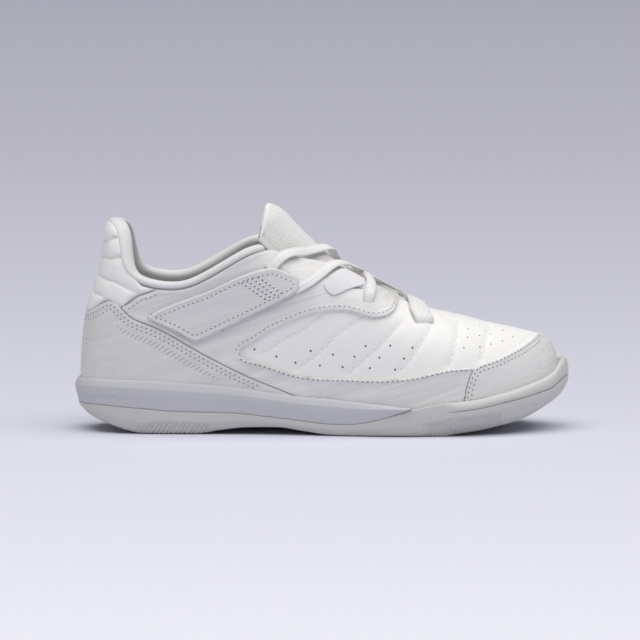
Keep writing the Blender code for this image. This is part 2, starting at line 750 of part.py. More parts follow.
def cup_corner(around, side, inset, height_of):
    """Foot of the cup's wall, as low as the bed is under the edge of the upper."""
    x, y = plan_point(around, side, inset)
    foot_x = plan_point(around, side, upper_inset(around))[0]
    return np.array([x, y, float(height_of(foot_x))])


def bed_bottom(x):
    """Underside of the midsole inside the shoe."""
    return np.minimum(
        level_line(OUTSOLE_TOP, x) + SEAM_GAP,
        bed_height(x) - MIDSOLE_TIP,
    )


def across(lateral, medial, height_of):
    """Points between the two sides of a section, on a line along the shoe that meets both sides."""
    left = lateral[2] - float(height_of(lateral[0]))
    right = medial[2] - float(height_of(medial[0]))
    points = []
    for share in BED_COLUMNS:
        x, y = lateral[:2] + (medial[:2] - lateral[:2]) * share
        points.append(np.array([x, y, float(height_of(x)) + left + (right - left) * share]))
    return points


def build_sole():
    """Outsole with its toe bumper, and the midsole wedge that it carries from the heel to the ball."""
    outsole = []
    for around in stations():
        blend = np.clip((around - BEAD_START) / (BEAD_FULL - BEAD_START), 0, 1)
        blend = blend * blend * (3 - 2 * blend)
        over_midsole = around <= MIDSOLE_END
        inner = PARTING_WALL if over_midsole else cup_inset(around)
        bed = (lambda x: bed_bottom(x) - SEAM_GAP) if over_midsole else bed_height
        sides = {}
        for side in (-1, 1):
            column = []
            for share, heel_inset, toe_inset in OUTSOLE_SIDE:
                x, y = plan_point(around, side, heel_inset + (toe_inset - heel_inset) * blend)
                low = float(level_line(BOTTOM_LINE, x))
                column.append(np.array([x, y, low + (float(level_line(OUTSOLE_TOP, x)) - low) * share]))
            x, y = plan_point(around, side, inner)
            column.append(np.array([x, y, column[-1][2]]))
            corner = cup_corner(around, side, inner, bed)
            if over_midsole:
                corner = np.array([x, y, float(bed(x))])
            corner[2] = min(corner[2], column[-1][2])
            column.append(corner)
            sides[side] = column
        under = across(sides[-1][0], sides[1][0], lambda x: level_line(BOTTOM_LINE, x))
        floor = across(sides[-1][-1], sides[1][-1], bed)
        outsole.append(sides[-1][::-1] + under + sides[1] + floor[::-1])
    outsole_piece = add_loft("outsole", outsole, (0.60, 0.60, 0.60), 0.60, caps=(False, False))
    cut_tread(outsole_piece)

    midsole = []
    for around in stations():
        if around > MIDSOLE_END:
            break
        sides = {}
        for side in (-1, 1):
            x, y = plan_point(around, side, PARTING_WALL + SEAM_GAP)
            parting = float(level_line(OUTSOLE_TOP, x)) + SEAM_GAP
            column = [np.array([x, y, float(bed_bottom(x))]), np.array([x, y, parting])]
            for share, inset in MIDSOLE_SIDE:
                x, y = plan_point(around, side, inset)
                low = float(level_line(OUTSOLE_TOP, x)) + SEAM_GAP
                column.append(np.array([x, y, low + (float(level_line(MIDSOLE_TOP, x)) - low) * share]))
            x, y = plan_point(around, side, cup_inset(around))
            column.append(np.array([x, y, column[-1][2]]))
            column.append(cup_corner(around, side, cup_inset(around), bed_height))
            sides[side] = column
        under = across(sides[-1][0], sides[1][0], bed_bottom)
        floor = across(sides[-1][-1], sides[1][-1], bed_height)
        midsole.append(sides[-1][::-1] + under + sides[1] + floor[::-1])
    add_loft("midsole", midsole, (0.63, 0.63, 0.67), 0.75, caps=(False, True))


# Tread: a pivot ring under the ball, notches at the forefoot's edges, ribs low on the side
PIVOT_X = 0.700
PIVOT_RADIUS = 0.0120
PIVOT_SIDES = 20
GROOVE_WIDTH = 0.0014
GROOVE_DEPTH = 0.0012
NOTCH_LENGTH = 0.0070
NOTCHES = 4
NOTCH_FIRST = 0.560
NOTCH_STEP = 0.0175
RIB_WIDTH = 0.0010
RIB_HEIGHT = 0.0052
RIB_REACH = 0.0038
HEEL_RIBS = (0.150, 0.0158, 8, 32.0)
BALL_RIBS = (0.700, 0.0158, 7, -32.0)


def cut_tread(outsole):
    """Cut the pivot ring, the notches and the side ribs into the outsole."""
    work = bmesh.new()
    for side in (-1, 1):
        for first, step, count, slant in (HEEL_RIBS, BALL_RIBS):
            for k in range(count):
                add_rib(work, first + step * k, side, slant)
        for k in range(NOTCHES):
            add_notch(work, NOTCH_FIRST + NOTCH_STEP * k, side)
    bmesh.ops.recalc_face_normals(work, faces=work.faces)
    slots = add_object("tread_slots", work, (0.5, 0.5, 0.5), 1.0)
    middle = Vector((PIVOT_X * SHOE_LENGTH, crest_y(PIVOT_X * SHOE_LENGTH), 0))
    ring = bmesh.new()
    low, high = -GROOVE_DEPTH, GROOVE_DEPTH
    corners = ((0, low), (GROOVE_WIDTH, low), (GROOVE_WIDTH, high), (0, high))
    turns = [2 * math.pi * k / PIVOT_SIDES for k in range(PIVOT_SIDES)]
    loops = []
    for turn in turns:
        way = Vector((math.cos(turn), math.sin(turn), 0))
        places = [middle + way * (PIVOT_RADIUS + out) + Vector((0, 0, up)) for out, up in corners]
        loops.append([ring.verts.new(place) for place in places])
    for k, here in enumerate(loops):
        ahead = loops[(k + 1) % len(loops)]
        for i in range(4):
            j = (i + 1) % 4
            ring.faces.new((here[i], here[j], ahead[j], ahead[i]))
    bmesh.ops.recalc_face_normals(ring, faces=ring.faces)
    pivot = add_object("pivot_ring", ring, (0.5, 0.5, 0.5), 1.0)
    for cutter in (slots, pivot):
        bpy.data.collections["indoor_soccer_shoe"].objects.unlink(cutter)
        bpy.data.collections["cutters"].objects.link(cutter)
        cutter.hide_render = True
        cutter.display_type = "WIRE"
        apply_boolean(outsole, "DIFFERENCE", cutter)


def edge_frame(around, side):
    """Place on the outsole's lower edge, with the ways along and into the shoe."""
    x, y = plan_point(around, side, 0.0)
    inner_x, inner_y = plan_point(around, side, NOTCH_LENGTH)
    inward = Vector((inner_x - x, inner_y - y, 0)).normalized()
    along = Vector((0, 0, 1)).cross(inward)
    if along.x < 0:
        along.negate()
    return Vector((x, y, 0)), along, inward


def add_block(work, middle, ways, size):
    """Box with its middle, the three ways of its edges and its size along them."""
    made = bmesh.ops.create_cube(work, size=1.0)
    for vertex in made["verts"]:
        x, y, z = vertex.co
        vertex.co = middle + ways[0] * (x * size[0]) + ways[1] * (y * size[1]) + ways[2] * (z * size[2])


def add_rib(work, around, side, slant):
    """Slanted slot low on the side, between two ribs."""
    edge, along, inward = edge_frame(around, side)
    lean = math.radians(slant)
    up = (Vector((0, 0, 1)) * math.cos(lean) + along * math.sin(lean)).normalized()
    width_way = inward.cross(up).normalized()
    low = float(level_line(BOTTOM_LINE, edge.x))
    middle = edge + inward * (RIB_REACH / 2 - 0.002) + Vector((0, 0, low + RIB_HEIGHT * 0.5 - 0.0004))
    add_block(work, middle, (width_way, inward, up), (RIB_WIDTH, RIB_REACH + 0.004, RIB_HEIGHT))


def add_notch(work, around, side):
    """Short groove in from the edge of the forefoot's tread."""
    edge, along, inward = edge_frame(around, side)
    middle = edge + inward * (NOTCH_LENGTH / 2)
    size = (GROOVE_WIDTH, NOTCH_LENGTH + 0.004, 2 * GROOVE_DEPTH)
    add_block(work, middle, (along, inward, Vector((0, 0, 1))), size)


INSOLE_GAP = 0.0004
INSOLE_CUP = 0.0014


def build_insole():
    """Footbed inside the upper, slightly cupped at its edge round the heel."""
    sections = []
    for around in stations():
        cup = INSOLE_CUP * max(0.0, 1 - around / 0.5)
        sides = {}
        for side in (-1, 1):
            x, y = plan_point(around, side, upper_inset(around) + UPPER_WALL + INSOLE_GAP)
            low = float(level_line(FLOOR_LINE, x))
            sides[side] = [np.array([x, y, low]), np.array([x, y, low + INSOLE_WALL + cup])]
        under = across(sides[-1][0], sides[1][0], lambda x: level_line(FLOOR_LINE, x))
        over = across(sides[-1][1], sides[1][1], lambda x: level_line(FLOOR_LINE, x) + INSOLE_WALL)
        sections.append(sides[-1][::-1] + under + sides[1] + over[::-1])
    add_loft("insole", sections, (0.70, 0.70, 0.72), 0.85, caps=(False, False))


# Lace bars: name, width, points at the lateral side, at the middle and at the medial side.
# A side point is (around, up, lift); a middle point is (x share, y, height).
LACE_WALL = 0.0011
LACE_WIDTH = 0.0050
LACES = (
    (
        "lace_top",
        LACE_WIDTH,
        ((0.452, 0.945, 0.0028), (0.485, 0.975, 0.0034)),
        ((0.462, -0.014, 1.000 * COLLAR_FRONT_HEIGHT), (0.513, 0.000, 1.013 * COLLAR_FRONT_HEIGHT)),
        ((0.590, 0.940, 0.0032), (0.605, 0.820, 0.0028)),
    ),
    (
        "lace_second",
        LACE_WIDTH,
        ((0.492, 0.765, 0.0028), (0.530, 0.840, 0.0028), (0.572, 0.930, 0.0034)),
        ((0.559, 0.000, 0.912 * COLLAR_FRONT_HEIGHT),),
        ((0.625, 0.930, 0.0034), (0.632, 0.820, 0.0028)),
    ),
    (
        "lace_third",
        LACE_WIDTH,
        ((0.600, 0.730, 0.0028), (0.625, 0.880, 0.0032)),
        ((0.594, 0.000, 1.290 * THROAT_END_HEIGHT),),
        ((0.665, 0.890, 0.0032), (0.672, 0.780, 0.0028)),
    ),
    (
        "lace_front",
        0.0095,
        ((0.697, 0.760, 0.0016), (0.712, 0.880, 0.0018)),
        ((0.690, 0.001, 1.082 * THROAT_END_HEIGHT),),
        ((0.712, 0.880, 0.0018), (0.697, 0.760, 0.0016)),
    ),
)
LACE_STEPS = 12


def build_laces():
    """Flat lace bars from the lateral side over the tongue to the medial side."""
    for name, width, lateral, middle, medial in LACES:
        points = []
        normals = []
        for side, rows in ((-1, lateral), (0, middle), (1, medial)):
            for row in rows:
                if side == 0:
                    points.append(np.array([row[0] * SHOE_LENGTH, row[1], row[2]]))
                    normals.append(np.array([0.55, row[1] / 0.02, 0.83]))
                    continue
                point = lifted_point(row[0], row[1], side, row[2])
                points.append(point)
                normals.append(point - point_on_last(row[0], row[1], side))
        points = np.array(points)
        normals = np.array([normal / np.linalg.norm(normal) for normal in normals])
        knots = np.concatenate([[0], np.cumsum(np.linalg.norm(np.diff(points, axis=0), axis=1))])
        steps = np.linspace(0, knots[-1], LACE_STEPS + 1)
        path = spline(knots, points, steps)
        lifts = np.stack([np.interp(steps, knots, normals[:, i]) for i in range(3)], axis=1)
        ahead = np.gradient(path, axis=0)
        sections = []
        for point, along, lift in zip(path, ahead, lifts):
            wide = np.cross(along, lift)
            wide /= np.linalg.norm(wide)
            thick = np.cross(wide, along)
            thick /= np.linalg.norm(thick)
            corners = ((-1, -1), (1, -1), (1, 1), (-1, 1))
            sections.append(
                [point + wide * (a * width / 2) + thick * (b * LACE_WALL / 2) for a, b in corners]
            )
        add_loft(name, sections, (0.84, 0.84, 0.86), 0.80)


def main():
    for thing in list(bpy.data.objects):
        bpy.data.objects.remove(thing, do_unlink=True)
    for name in ("indoor_soccer_shoe", "cutters"):
        collection = bpy.data.collections.new(name)
        bpy.context.scene.collection.children.link(collection)
    build_upper()
    build_panels()
    build_heel_pad()
    build_collar()
    build_tongue()
    build_sole()
    build_insole()
    build_laces()


main()
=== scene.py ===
"""Child's indoor soccer shoe, right foot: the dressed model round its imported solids.

Metres. +X runs to the toe, -Y is the outer side, +Z is up, as in the solids.
"""

import json
import math

import bmesh
import bpy
import numpy as np
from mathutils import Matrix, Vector

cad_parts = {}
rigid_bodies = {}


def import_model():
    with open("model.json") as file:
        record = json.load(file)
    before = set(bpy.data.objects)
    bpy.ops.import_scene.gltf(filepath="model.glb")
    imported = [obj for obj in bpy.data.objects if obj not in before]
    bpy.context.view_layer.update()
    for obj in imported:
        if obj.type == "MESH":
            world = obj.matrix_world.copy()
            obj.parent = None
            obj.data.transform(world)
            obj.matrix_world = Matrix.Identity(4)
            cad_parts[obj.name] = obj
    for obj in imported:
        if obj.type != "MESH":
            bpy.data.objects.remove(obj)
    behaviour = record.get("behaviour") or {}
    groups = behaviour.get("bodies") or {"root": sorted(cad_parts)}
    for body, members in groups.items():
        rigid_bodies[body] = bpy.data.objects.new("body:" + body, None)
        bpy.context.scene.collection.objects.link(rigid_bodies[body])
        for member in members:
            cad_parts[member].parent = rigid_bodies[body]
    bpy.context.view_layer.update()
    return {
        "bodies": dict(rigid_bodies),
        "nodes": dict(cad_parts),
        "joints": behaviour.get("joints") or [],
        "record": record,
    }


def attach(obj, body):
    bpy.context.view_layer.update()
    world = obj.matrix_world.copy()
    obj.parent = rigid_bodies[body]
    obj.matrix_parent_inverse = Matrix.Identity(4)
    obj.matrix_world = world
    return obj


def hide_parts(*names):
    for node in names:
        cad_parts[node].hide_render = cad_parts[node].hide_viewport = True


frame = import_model()

# The set: a long lens square to the outer side of the shoe and five degrees above the floor,
# a pale lilac paper floor whose colour is painted darker into the distance as painted light falloff,
# and one wide soft light overhead.
SHOT_DISTANCE = 2.0
SHOT_LIFT = math.radians(5.0)
SHOT_TARGET = Vector((0.0700, 0.0, 0.05044))
LENS = 241.8
FLOOR_SIZE = 60.0
# share of the way up the picture's distance scale, and the floor's colour there, darker with distance as
# painted light falloff
FLOOR_PAINTED_FALLOFF = (
    (0.00, (0.400, 0.398, 0.485)),
    (0.25, (0.482, 0.475, 0.570)),
    (0.50, (0.599, 0.603, 0.700)),
    (0.75, (0.738, 0.742, 0.855)),
    (1.00, (0.838, 0.842, 0.945)),
)
SKY_COLOUR = (1.0, 0.992, 0.975)
SKY_STRENGTH = 0.17
SOFTBOX_COLOUR = (1.0, 0.992, 0.970)
SOFTBOX_STRENGTH = 2.75
SOFTBOX_SPREAD = math.radians(78)
SOFTBOX_FROM = Vector((0.05, -0.19, 0.97))


def add(tree, kind, links=None, **settings):
    """New shader node with its settings, and links from other sockets to its inputs."""
    made = tree.nodes.new("ShaderNode" + kind)
    for name, value in settings.items():
        if hasattr(made, name):
            setattr(made, name, value)
        else:
            made.inputs[name.replace("_", " ").title()].default_value = value
    for key, source in (links or {}).items():
        tree.links.new(source, made.inputs[key])
    return made


def math_node(tree, operation, first, second=0.0):
    """Math node on two sockets or numbers; gives its output."""
    made = tree.nodes.new("ShaderNodeMath")
    made.operation = operation
    for slot, value in zip(made.inputs, (first, second)):
        if isinstance(value, (int, float)):
            slot.default_value = value
        else:
            tree.links.new(value, slot)
    return made.outputs[0]


def new_material(name, colour, roughness):
    """Material with a plain surface shader, and its tree and shader."""
    material = bpy.data.materials.new(name)
    material.use_nodes = True
    surface = material.node_tree.nodes["Principled BSDF"]
    surface.inputs["Base Color"].default_value = (*colour, 1.0)
    surface.inputs["Roughness"].default_value = roughness
    return material, material.node_tree, surface


scene = bpy.context.scene
scene.view_settings.view_transform = "Standard"

camera_data = bpy.data.cameras.new("camera")
camera_data.lens = LENS
camera_data.sensor_width = 36.0
camera = bpy.data.objects.new("camera", camera_data)
away = Vector((0.0, -math.cos(SHOT_LIFT), math.sin(SHOT_LIFT)))
camera.location = SHOT_TARGET + away * SHOT_DISTANCE
camera.rotation_euler = (math.radians(90) - SHOT_LIFT, 0.0, 0.0)
scene.collection.objects.link(camera)
scene.camera = camera

world = bpy.data.worlds.new("studio")
world.use_nodes = True
world.node_tree.nodes["Background"].inputs["Color"].default_value = (*SKY_COLOUR, 1.0)
world.node_tree.nodes["Background"].inputs["Strength"].default_value = SKY_STRENGTH
scene.world = world

softbox_data = bpy.data.lights.new("softbox", "SUN")
softbox_data.energy = SOFTBOX_STRENGTH
softbox_data.color = SOFTBOX_COLOUR
softbox_data.angle = SOFTBOX_SPREAD
softbox = bpy.data.objects.new("softbox", softbox_data)
softbox.rotation_euler = SOFTBOX_FROM.to_track_quat("Z", "Y").to_euler()
scene.collection.objects.link(softbox)

floor_work = bmesh.new()
bmesh.ops.create_grid(floor_work, x_segments=4, y_segments=4, size=FLOOR_SIZE / 2)
floor_mesh = bpy.data.meshes.new("paper_floor")
floor_work.to_mesh(floor_mesh)
floor_work.free()
floor = bpy.data.objects.new("paper_floor", floor_mesh)
scene.collection.objects.link(floor)
paper_with_painted_falloff, tree, surface = new_material("paper_with_painted_falloff", (0.5, 0.5, 0.55), 0.9)
surface.inputs["Specular IOR Level"].default_value = 0.1
place = add(tree, "TexCoord")
split = add(tree, "SeparateXYZ", {0: place.outputs["Object"]})
# the paper's colour darkens with distance from the camera: painted light falloff
away_y = math_node(tree, "MAXIMUM", math_node(tree, "ADD", split.outputs["Y"], 1.99), 1.25)
near = math_node(tree, "DIVIDE", 1.0, away_y)
share = math_node(tree, "MULTIPLY", math_node(tree, "SUBTRACT", near, 0.0578), 1.0 / 0.670)
falloff_ramp = add(tree, "ValToRGB", {0: share})
while len(falloff_ramp.color_ramp.elements) < len(FLOOR_PAINTED_FALLOFF):
    falloff_ramp.color_ramp.elements.new(0.5)
for stop, (where, colour) in zip(falloff_ramp.color_ramp.elements, FLOOR_PAINTED_FALLOFF):
    stop.position = where
    stop.color = (*colour, 1.0)
tree.links.new(falloff_ramp.outputs["Color"], surface.inputs["Base Color"])
floor_mesh.materials.append(paper_with_painted_falloff)

# The upper: one hollow shell of matte synthetic, pulled over the last and stitched to its lining.
# Its vamp is quilted by slanting rows of zigzag stitches and punched with air holes.
SHOE_LENGTH = 0.230
BALL_WIDTH = 0.0835
WAIST_WIDTH = 0.0600
HEEL_WIDTH = 0.0580
HEEL_SETBACK = 0.044
TOE_SWING = 0.004
HEEL_TAB_HEIGHT = 0.0945
ANKLE_HEIGHT = 0.0663
COLLAR_FRONT_HEIGHT = 0.0835
THROAT_END_HEIGHT = 0.0556
TOE_HEIGHT = 0.0450
HEEL_FLOOR = 0.0170
BALL_FLOOR = 0.0100
TOE_FLOOR = 0.0220
COLLAR_WIDTH = 0.0520
THROAT_WIDTH = 0.0260
UPPER_WALL = 0.0020
SEAM_GAP = 0.0003
SOLE_LEDGE_HEEL = 0.0042
SOLE_LEDGE_TOE = 0.0060
THROAT_END = 0.77
VAMP_FULLNESS = 0.76
TOE_FALL = 0.30
TOE_ROW = 10

# x as a share of the length, y
SOLE_PLAN = (
    (0.000, 0.000 * HEEL_WIDTH),
    (0.032, -0.345 * HEEL_WIDTH),
    (0.120, -0.497 * HEEL_WIDTH),
    (0.260, -0.510 * WAIST_WIDTH),
    (0.413, -0.550 * WAIST_WIDTH),
    (0.565, -0.467 * BALL_WIDTH),
    (0.674, -0.503 * BALL_WIDTH),
    (0.783, -0.479 * BALL_WIDTH),
    (0.891, -0.365 * BALL_WIDTH),
    (0.970, -0.170 * BALL_WIDTH),
    (1.000, 0.070 * BALL_WIDTH),
    (0.974, 0.270 * BALL_WIDTH),
    (0.904, 0.419 * BALL_WIDTH),
    (0.804, 0.497 * BALL_WIDTH),
    (0.696, 0.497 * BALL_WIDTH),
    (0.565, 0.413 * BALL_WIDTH),
    (0.413, 0.450 * WAIST_WIDTH),
    (0.260, 0.455 * WAIST_WIDTH),
    (0.120, 0.493 * HEEL_WIDTH),
    (0.032, 0.345 * HEEL_WIDTH),
)
# x as a share of the length, height of the footbed
FLOOR_LINE = (
    (0.00, 1.03 * HEEL_FLOOR),
    (0.18, 0.97 * HEEL_FLOOR),
    (0.35, 0.82 * HEEL_FLOOR),
    (0.48, 1.15 * BALL_FLOOR),
    (0.62, 1.00 * BALL_FLOOR),
    (0.74, 1.00 * BALL_FLOOR),
    (0.83, 0.50 * TOE_FLOOR),
    (0.90, 0.62 * TOE_FLOOR),
    (0.95, 0.80 * TOE_FLOOR),
    (0.98, 0.94 * TOE_FLOOR),
    (1.00, 1.00 * TOE_FLOOR),
)
# share of the way from heel to toe, x as a share of the length, half the opening, height of the rim
RIM = (
    (0.00, 0.067, 0.000 * COLLAR_WIDTH, 1.000 * HEEL_TAB_HEIGHT),
    (0.06, 0.082, 0.230 * COLLAR_WIDTH, 0.968 * HEEL_TAB_HEIGHT),
    (0.12, 0.098, 0.345 * COLLAR_WIDTH, 0.847 * HEEL_TAB_HEIGHT),
    (0.18, 0.126, 0.425 * COLLAR_WIDTH, 1.056 * ANKLE_HEIGHT),
    (0.24, 0.191, 0.480 * COLLAR_WIDTH, 1.000 * ANKLE_HEIGHT),
    (0.32, 0.261, 0.500 * COLLAR_WIDTH, 1.056 * ANKLE_HEIGHT),
    (0.40, 0.330, 0.500 * COLLAR_WIDTH, 0.946 * COLLAR_FRONT_HEIGHT),
    (0.47, 0.391, 0.420 * COLLAR_WIDTH, 1.000 * COLLAR_FRONT_HEIGHT),
    (0.53, 0.448, 0.620 * THROAT_WIDTH, 0.955 * COLLAR_FRONT_HEIGHT),
    (0.60, 0.528, 0.500 * THROAT_WIDTH, 0.905 * COLLAR_FRONT_HEIGHT),
    (0.66, 0.609, 0.350 * THROAT_WIDTH, 0.790 * COLLAR_FRONT_HEIGHT),
    (0.72, 0.674, 0.170 * THROAT_WIDTH, 1.062 * THROAT_END_HEIGHT),
    (0.77, 0.717, 0.000 * THROAT_WIDTH, 1.000 * THROAT_END_HEIGHT),
    (0.83, 0.774, 0.000 * THROAT_WIDTH, 0.950 * THROAT_END_HEIGHT),
    (0.89, 0.830, 0.000 * THROAT_WIDTH, 1.098 * TOE_HEIGHT),
    (0.95, 0.883, 0.000 * THROAT_WIDTH, 1.040 * TOE_HEIGHT),
    (1.00, 0.922, 0.000 * THROAT_WIDTH, 1.000 * TOE_HEIGHT),
)
# share of the way round, lean of the ankle's wall at a quarter, half and three quarters up
ANKLE_LEAN = (
    (0.00, 0.06, 0.29, 0.82),
    (0.12, 0.00, 0.20, 0.65),
    (0.24, -0.10, 0.05, 0.45),
    (0.47, -0.02, 0.08, 0.35),
    (1.00, 0.00, 0.10, 0.40),
)
# share of the way round, share of the round vamp kind of section
ROUNDNESS = (
    (0.00, 0.00),
    (0.32, 0.00),
    (0.47, 0.25),
    (0.60, 0.55),
    (0.72, 0.90),
    (0.77, 1.00),
    (1.00, 1.00),
)


def spline(knots, values, at, closed_length=None):
    """Smooth cubic through values at knots, read at the places in at. With closed_length it runs round."""
    knots = np.asarray(knots, float)
    values = np.asarray(values, float)
    at = np.asarray(at, float)
    if closed_length is not None:
        knots = np.concatenate([knots[-3:] - closed_length, knots, knots[:3] + closed_length])
        values = np.concatenate([values[-3:], values, values[:3]])
        at = np.mod(at, closed_length)
    steps = np.diff(knots)
    count = len(knots)
    system = np.eye(count)
    right = np.zeros((count,) + values.shape[1:])
    slopes = (np.diff(values, axis=0).T / steps).T
    for i in range(1, count - 1):
        system[i, i - 1 : i + 2] = steps[i - 1], 2 * (steps[i - 1] + steps[i]), steps[i]
        right[i] = 6 * (slopes[i] - slopes[i - 1])
    bends = np.linalg.solve(system, right)
    cell = np.clip(np.searchsorted(knots, at, side="right") - 1, 0, count - 2)
    left = ((knots[cell + 1] - at) / steps[cell]).reshape(at.shape + (1,) * (values.ndim - 1))
    span = steps[cell].reshape(left.shape)
    rest = 1 - left
    return (
        left * values[cell]
        + rest * values[cell + 1]
        + ((left**3 - left) * bends[cell] + (rest**3 - rest) * bends[cell + 1]) * span**2 / 6
    )


def steady_line(knots, values, x):
    """Smooth line through values at knots that never overshoots them."""
    knots = np.asarray(knots, float)
    values = np.asarray(values, float)
    slopes = np.diff(values) / np.diff(knots)
    ends = np.zeros(len(knots))
    for i in range(1, len(knots) - 1):
        if slopes[i - 1] * slopes[i] > 0:
            ends[i] = 2 / (1 / slopes[i - 1] + 1 / slopes[i])
    ends[0], ends[-1] = slopes[0], slopes[-1]
    x = np.clip(np.asarray(x, float), knots[0], knots[-1])
    cell = np.clip(np.searchsorted(knots, x, side="right") - 1, 0, len(knots) - 2)
    span = np.diff(knots)[cell]
    t = (x - knots[cell]) / span
    return (
        values[cell] * (1 + 2 * t) * (1 - t) ** 2
        + values[cell + 1] * t * t * (3 - 2 * t)
        + span * (ends[cell] * t * (1 - t) ** 2 - ends[cell + 1] * t * t * (1 - t))
    )


def level_line(table, x):
    """Height along the shoe from rows of (x as a share of the length, height)."""
    rows = np.array(table)
    return steady_line(rows[:, 0] * SHOE_LENGTH, rows[:, 1], x)


def ease(low, high, value):
    """Smooth step from 0 at low to 1 at high."""
    t = np.clip((np.asarray(value, float) - low) / (high - low), 0, 1)
    return t * t * (3 - 2 * t)


def unit(vectors):
    """Vectors brought to a length of one."""
    return vectors / np.linalg.norm(vectors, axis=-1, keepdims=True)


def run_lengths(points):
    """Length of a line up to each of its points."""
    return np.concatenate([[0], np.cumsum(np.linalg.norm(np.diff(points, axis=0), axis=1))])


def read_line(values, knots, at):
    """Points or ways along a line, read between its knots at the lengths in at."""
    return np.stack([np.interp(at, knots, values[:, i]) for i in range(3)], axis=-1)


def plan_point(around, side, inset=0.0):
    """Point of the sole's plan, from heel 0 to toe 1 on a side (-1 lateral, 1 medial), moved inwards."""
    points = np.array([(x * SHOE_LENGTH, y) for x, y in SOLE_PLAN])
    chords = np.linalg.norm(np.roll(points, -1, axis=0) - points, axis=1)
    knots = np.concatenate([[0], np.cumsum(chords)])
    length, toe = knots[-1], knots[TOE_ROW]
    around = np.asarray(around, float)
    along = np.where(np.asarray(side) < 0, around * toe, length - around * (length - toe))
    step = 1e-4
    read = lambda places: spline(knots[:-1], points, places, length)
    ahead = read(along + step) - read(along - step)
    inward = unit(np.stack([-ahead[..., 1], ahead[..., 0]], axis=-1))
    return read(along) + inward * np.asarray(inset)[..., None]


def crest_y(x):
    """Sideways swing of the crest of the vamp towards the big toe."""
    return TOE_SWING * ease(0.45, 0.95, x / SHOE_LENGTH)


def rim_height(x):
    """Height of the rim or crest over a place along the shoe."""
    last_x = RIM[-1][1] * SHOE_LENGTH
    return level_line([(row[1], row[3]) for row in RIM], x) - TOE_FALL * np.maximum(x - last_x, 0)


def rim_point(around, side):
    """Point of the rim or, past the throat, of the vamp's crest."""
    rows = np.array(RIM)
    values = spline(rows[:, 0], rows[:, 1:] * (SHOE_LENGTH, 1, 1), around)
    half = np.where(np.asarray(around) >= THROAT_END - 1e-9, 0.0, np.maximum(values[..., 1], 0))
    x = values[..., 0]
    return np.stack([x, crest_y(x) + side * half, values[..., 2]], axis=-1)


def upper_inset(around):
    """How far the foot of the upper stands in from the edge of the sole."""
    return SOLE_LEDGE_HEEL + (SOLE_LEDGE_TOE - SOLE_LEDGE_HEEL) * np.asarray(around, float) ** 2


def point_on_last(around, up, side):
    """Outer face of the upper: around 0 heel to 1 toe, up 0 footbed to 1 rim or crest."""
    around, up, side = np.broadcast_arrays(np.asarray(around, float), np.asarray(up, float), side)
    flip = (around < 0) | (around > 1)
    around = np.abs(around)
    around = np.where(around > 1, 2 - around, around)
    over = (up > 1) & (around >= THROAT_END - 1e-9)
    up = np.clip(np.where(over, 2 - up, up), 0, 1)
    side = np.where(flip ^ over, -side, side)
    foot = plan_point(around, side, upper_inset(around))
    top = rim_point(around, side)
    floor_z = level_line(FLOOR_LINE, foot[..., 0])
    lean = np.array(ANKLE_LEAN)
    quarters = spline(lean[:, 0], lean[:, 1:], around)
    shares = spline(np.linspace(0, 1, 5), np.eye(5), up)
    ankle_in = (shares[..., 1:4] * quarters).sum(axis=-1) + shares[..., 4]
    turn = up * math.pi / 2
    vamp_in = 1 - np.cos(turn) ** VAMP_FULLNESS
    vamp_up = np.sin(turn) ** VAMP_FULLNESS
    blend = np.array(ROUNDNESS)
    round_share = np.interp(around, blend[:, 0], blend[:, 1])
    inward = ankle_in + (vamp_in - ankle_in) * round_share
    upward = up + (vamp_up - up) * round_share
    ground = foot + (top[..., :2] - foot) * inward[..., None]
    ridge = top[..., 2] + (rim_height(ground[..., 0]) - top[..., 2]) * round_share
    return np.concatenate([ground, (floor_z + (ridge - floor_z) * upward)[..., None]], axis=-1)


def last_normal(around, up, side):
    """Way straight out of the last."""
    step = 2e-3
    up = np.where((np.asarray(up) > 1 - 6 * step) & (np.asarray(around) < THROAT_END), 1 - 6 * step, up)
    up = np.maximum(up, step)
    along = point_on_last(around + step, up, side) - point_on_last(around - step, up, side)
    rise = point_on_last(around, up + step, side) - point_on_last(around, up - step, side)
    return unit(np.cross(along, rise) * -np.asarray(side, float)[..., None])


def lifted_point(around, up, side, lift):
    """Point at a distance lift off the outer face of the last."""
    around, up, side, lift = np.broadcast_arrays(np.asarray(around, float), up, side, lift)
    return point_on_last(around, up, side) + last_normal(around, up, side) * lift[..., None]


def find_place(x, z, side):
    """Around and up of side-view points (x, z) on one side of the last."""
    x = np.atleast_1d(np.asarray(x, float))
    z = np.atleast_1d(np.asarray(z, float))
    grid = np.meshgrid(np.linspace(0.01, 0.98, 98), np.linspace(0.02, 0.98, 25))
    grid_a, grid_u = (values.ravel() for values in grid)
    table = point_on_last(grid_a, grid_u, side)
    nearest = ((x[:, None] - table[:, 0]) ** 2 + (z[:, None] - table[:, 2]) ** 2).argmin(axis=1)
    around, up = grid_a[nearest], grid_u[nearest]
    step = 1e-4
    for _ in range(10):
        here = point_on_last(around, up, side)
        by_a = (point_on_last(around + step, up, side) - here) / step
        by_u = (here - point_on_last(around, up - step, side)) / step
        off_x, off_z = x - here[:, 0], z - here[:, 2]
        size = by_a[:, 0] * by_u[:, 2] - by_u[:, 0] * by_a[:, 2]
        size = np.where(np.abs(size) < 1e-5, 1e-5, size)
        around = around + np.clip((off_x * by_u[:, 2] - off_z * by_u[:, 0]) / size, -0.05, 0.05)
        up = up + np.clip((off_z * by_a[:, 0] - off_x * by_a[:, 2]) / size, -0.1, 0.1)
        around, up = np.clip(around, 0, 1), np.clip(up, 0, 1)
    return around, up


def find_seen(rows, side):
    """Around and up of points in millimetres along the shoe and up the picture."""
    rows = np.array(rows, float) / 1000
    z = rows[:, 1]
    for _ in range(3):
        around, up = find_place(rows[:, 0], z, side)
        nearer = np.abs(point_on_last(around, up, side)[:, 1])
        z = rows[:, 1] / math.cos(SHOT_LIFT) + math.tan(SHOT_LIFT) * nearer
    return find_place(rows[:, 0], z, side)


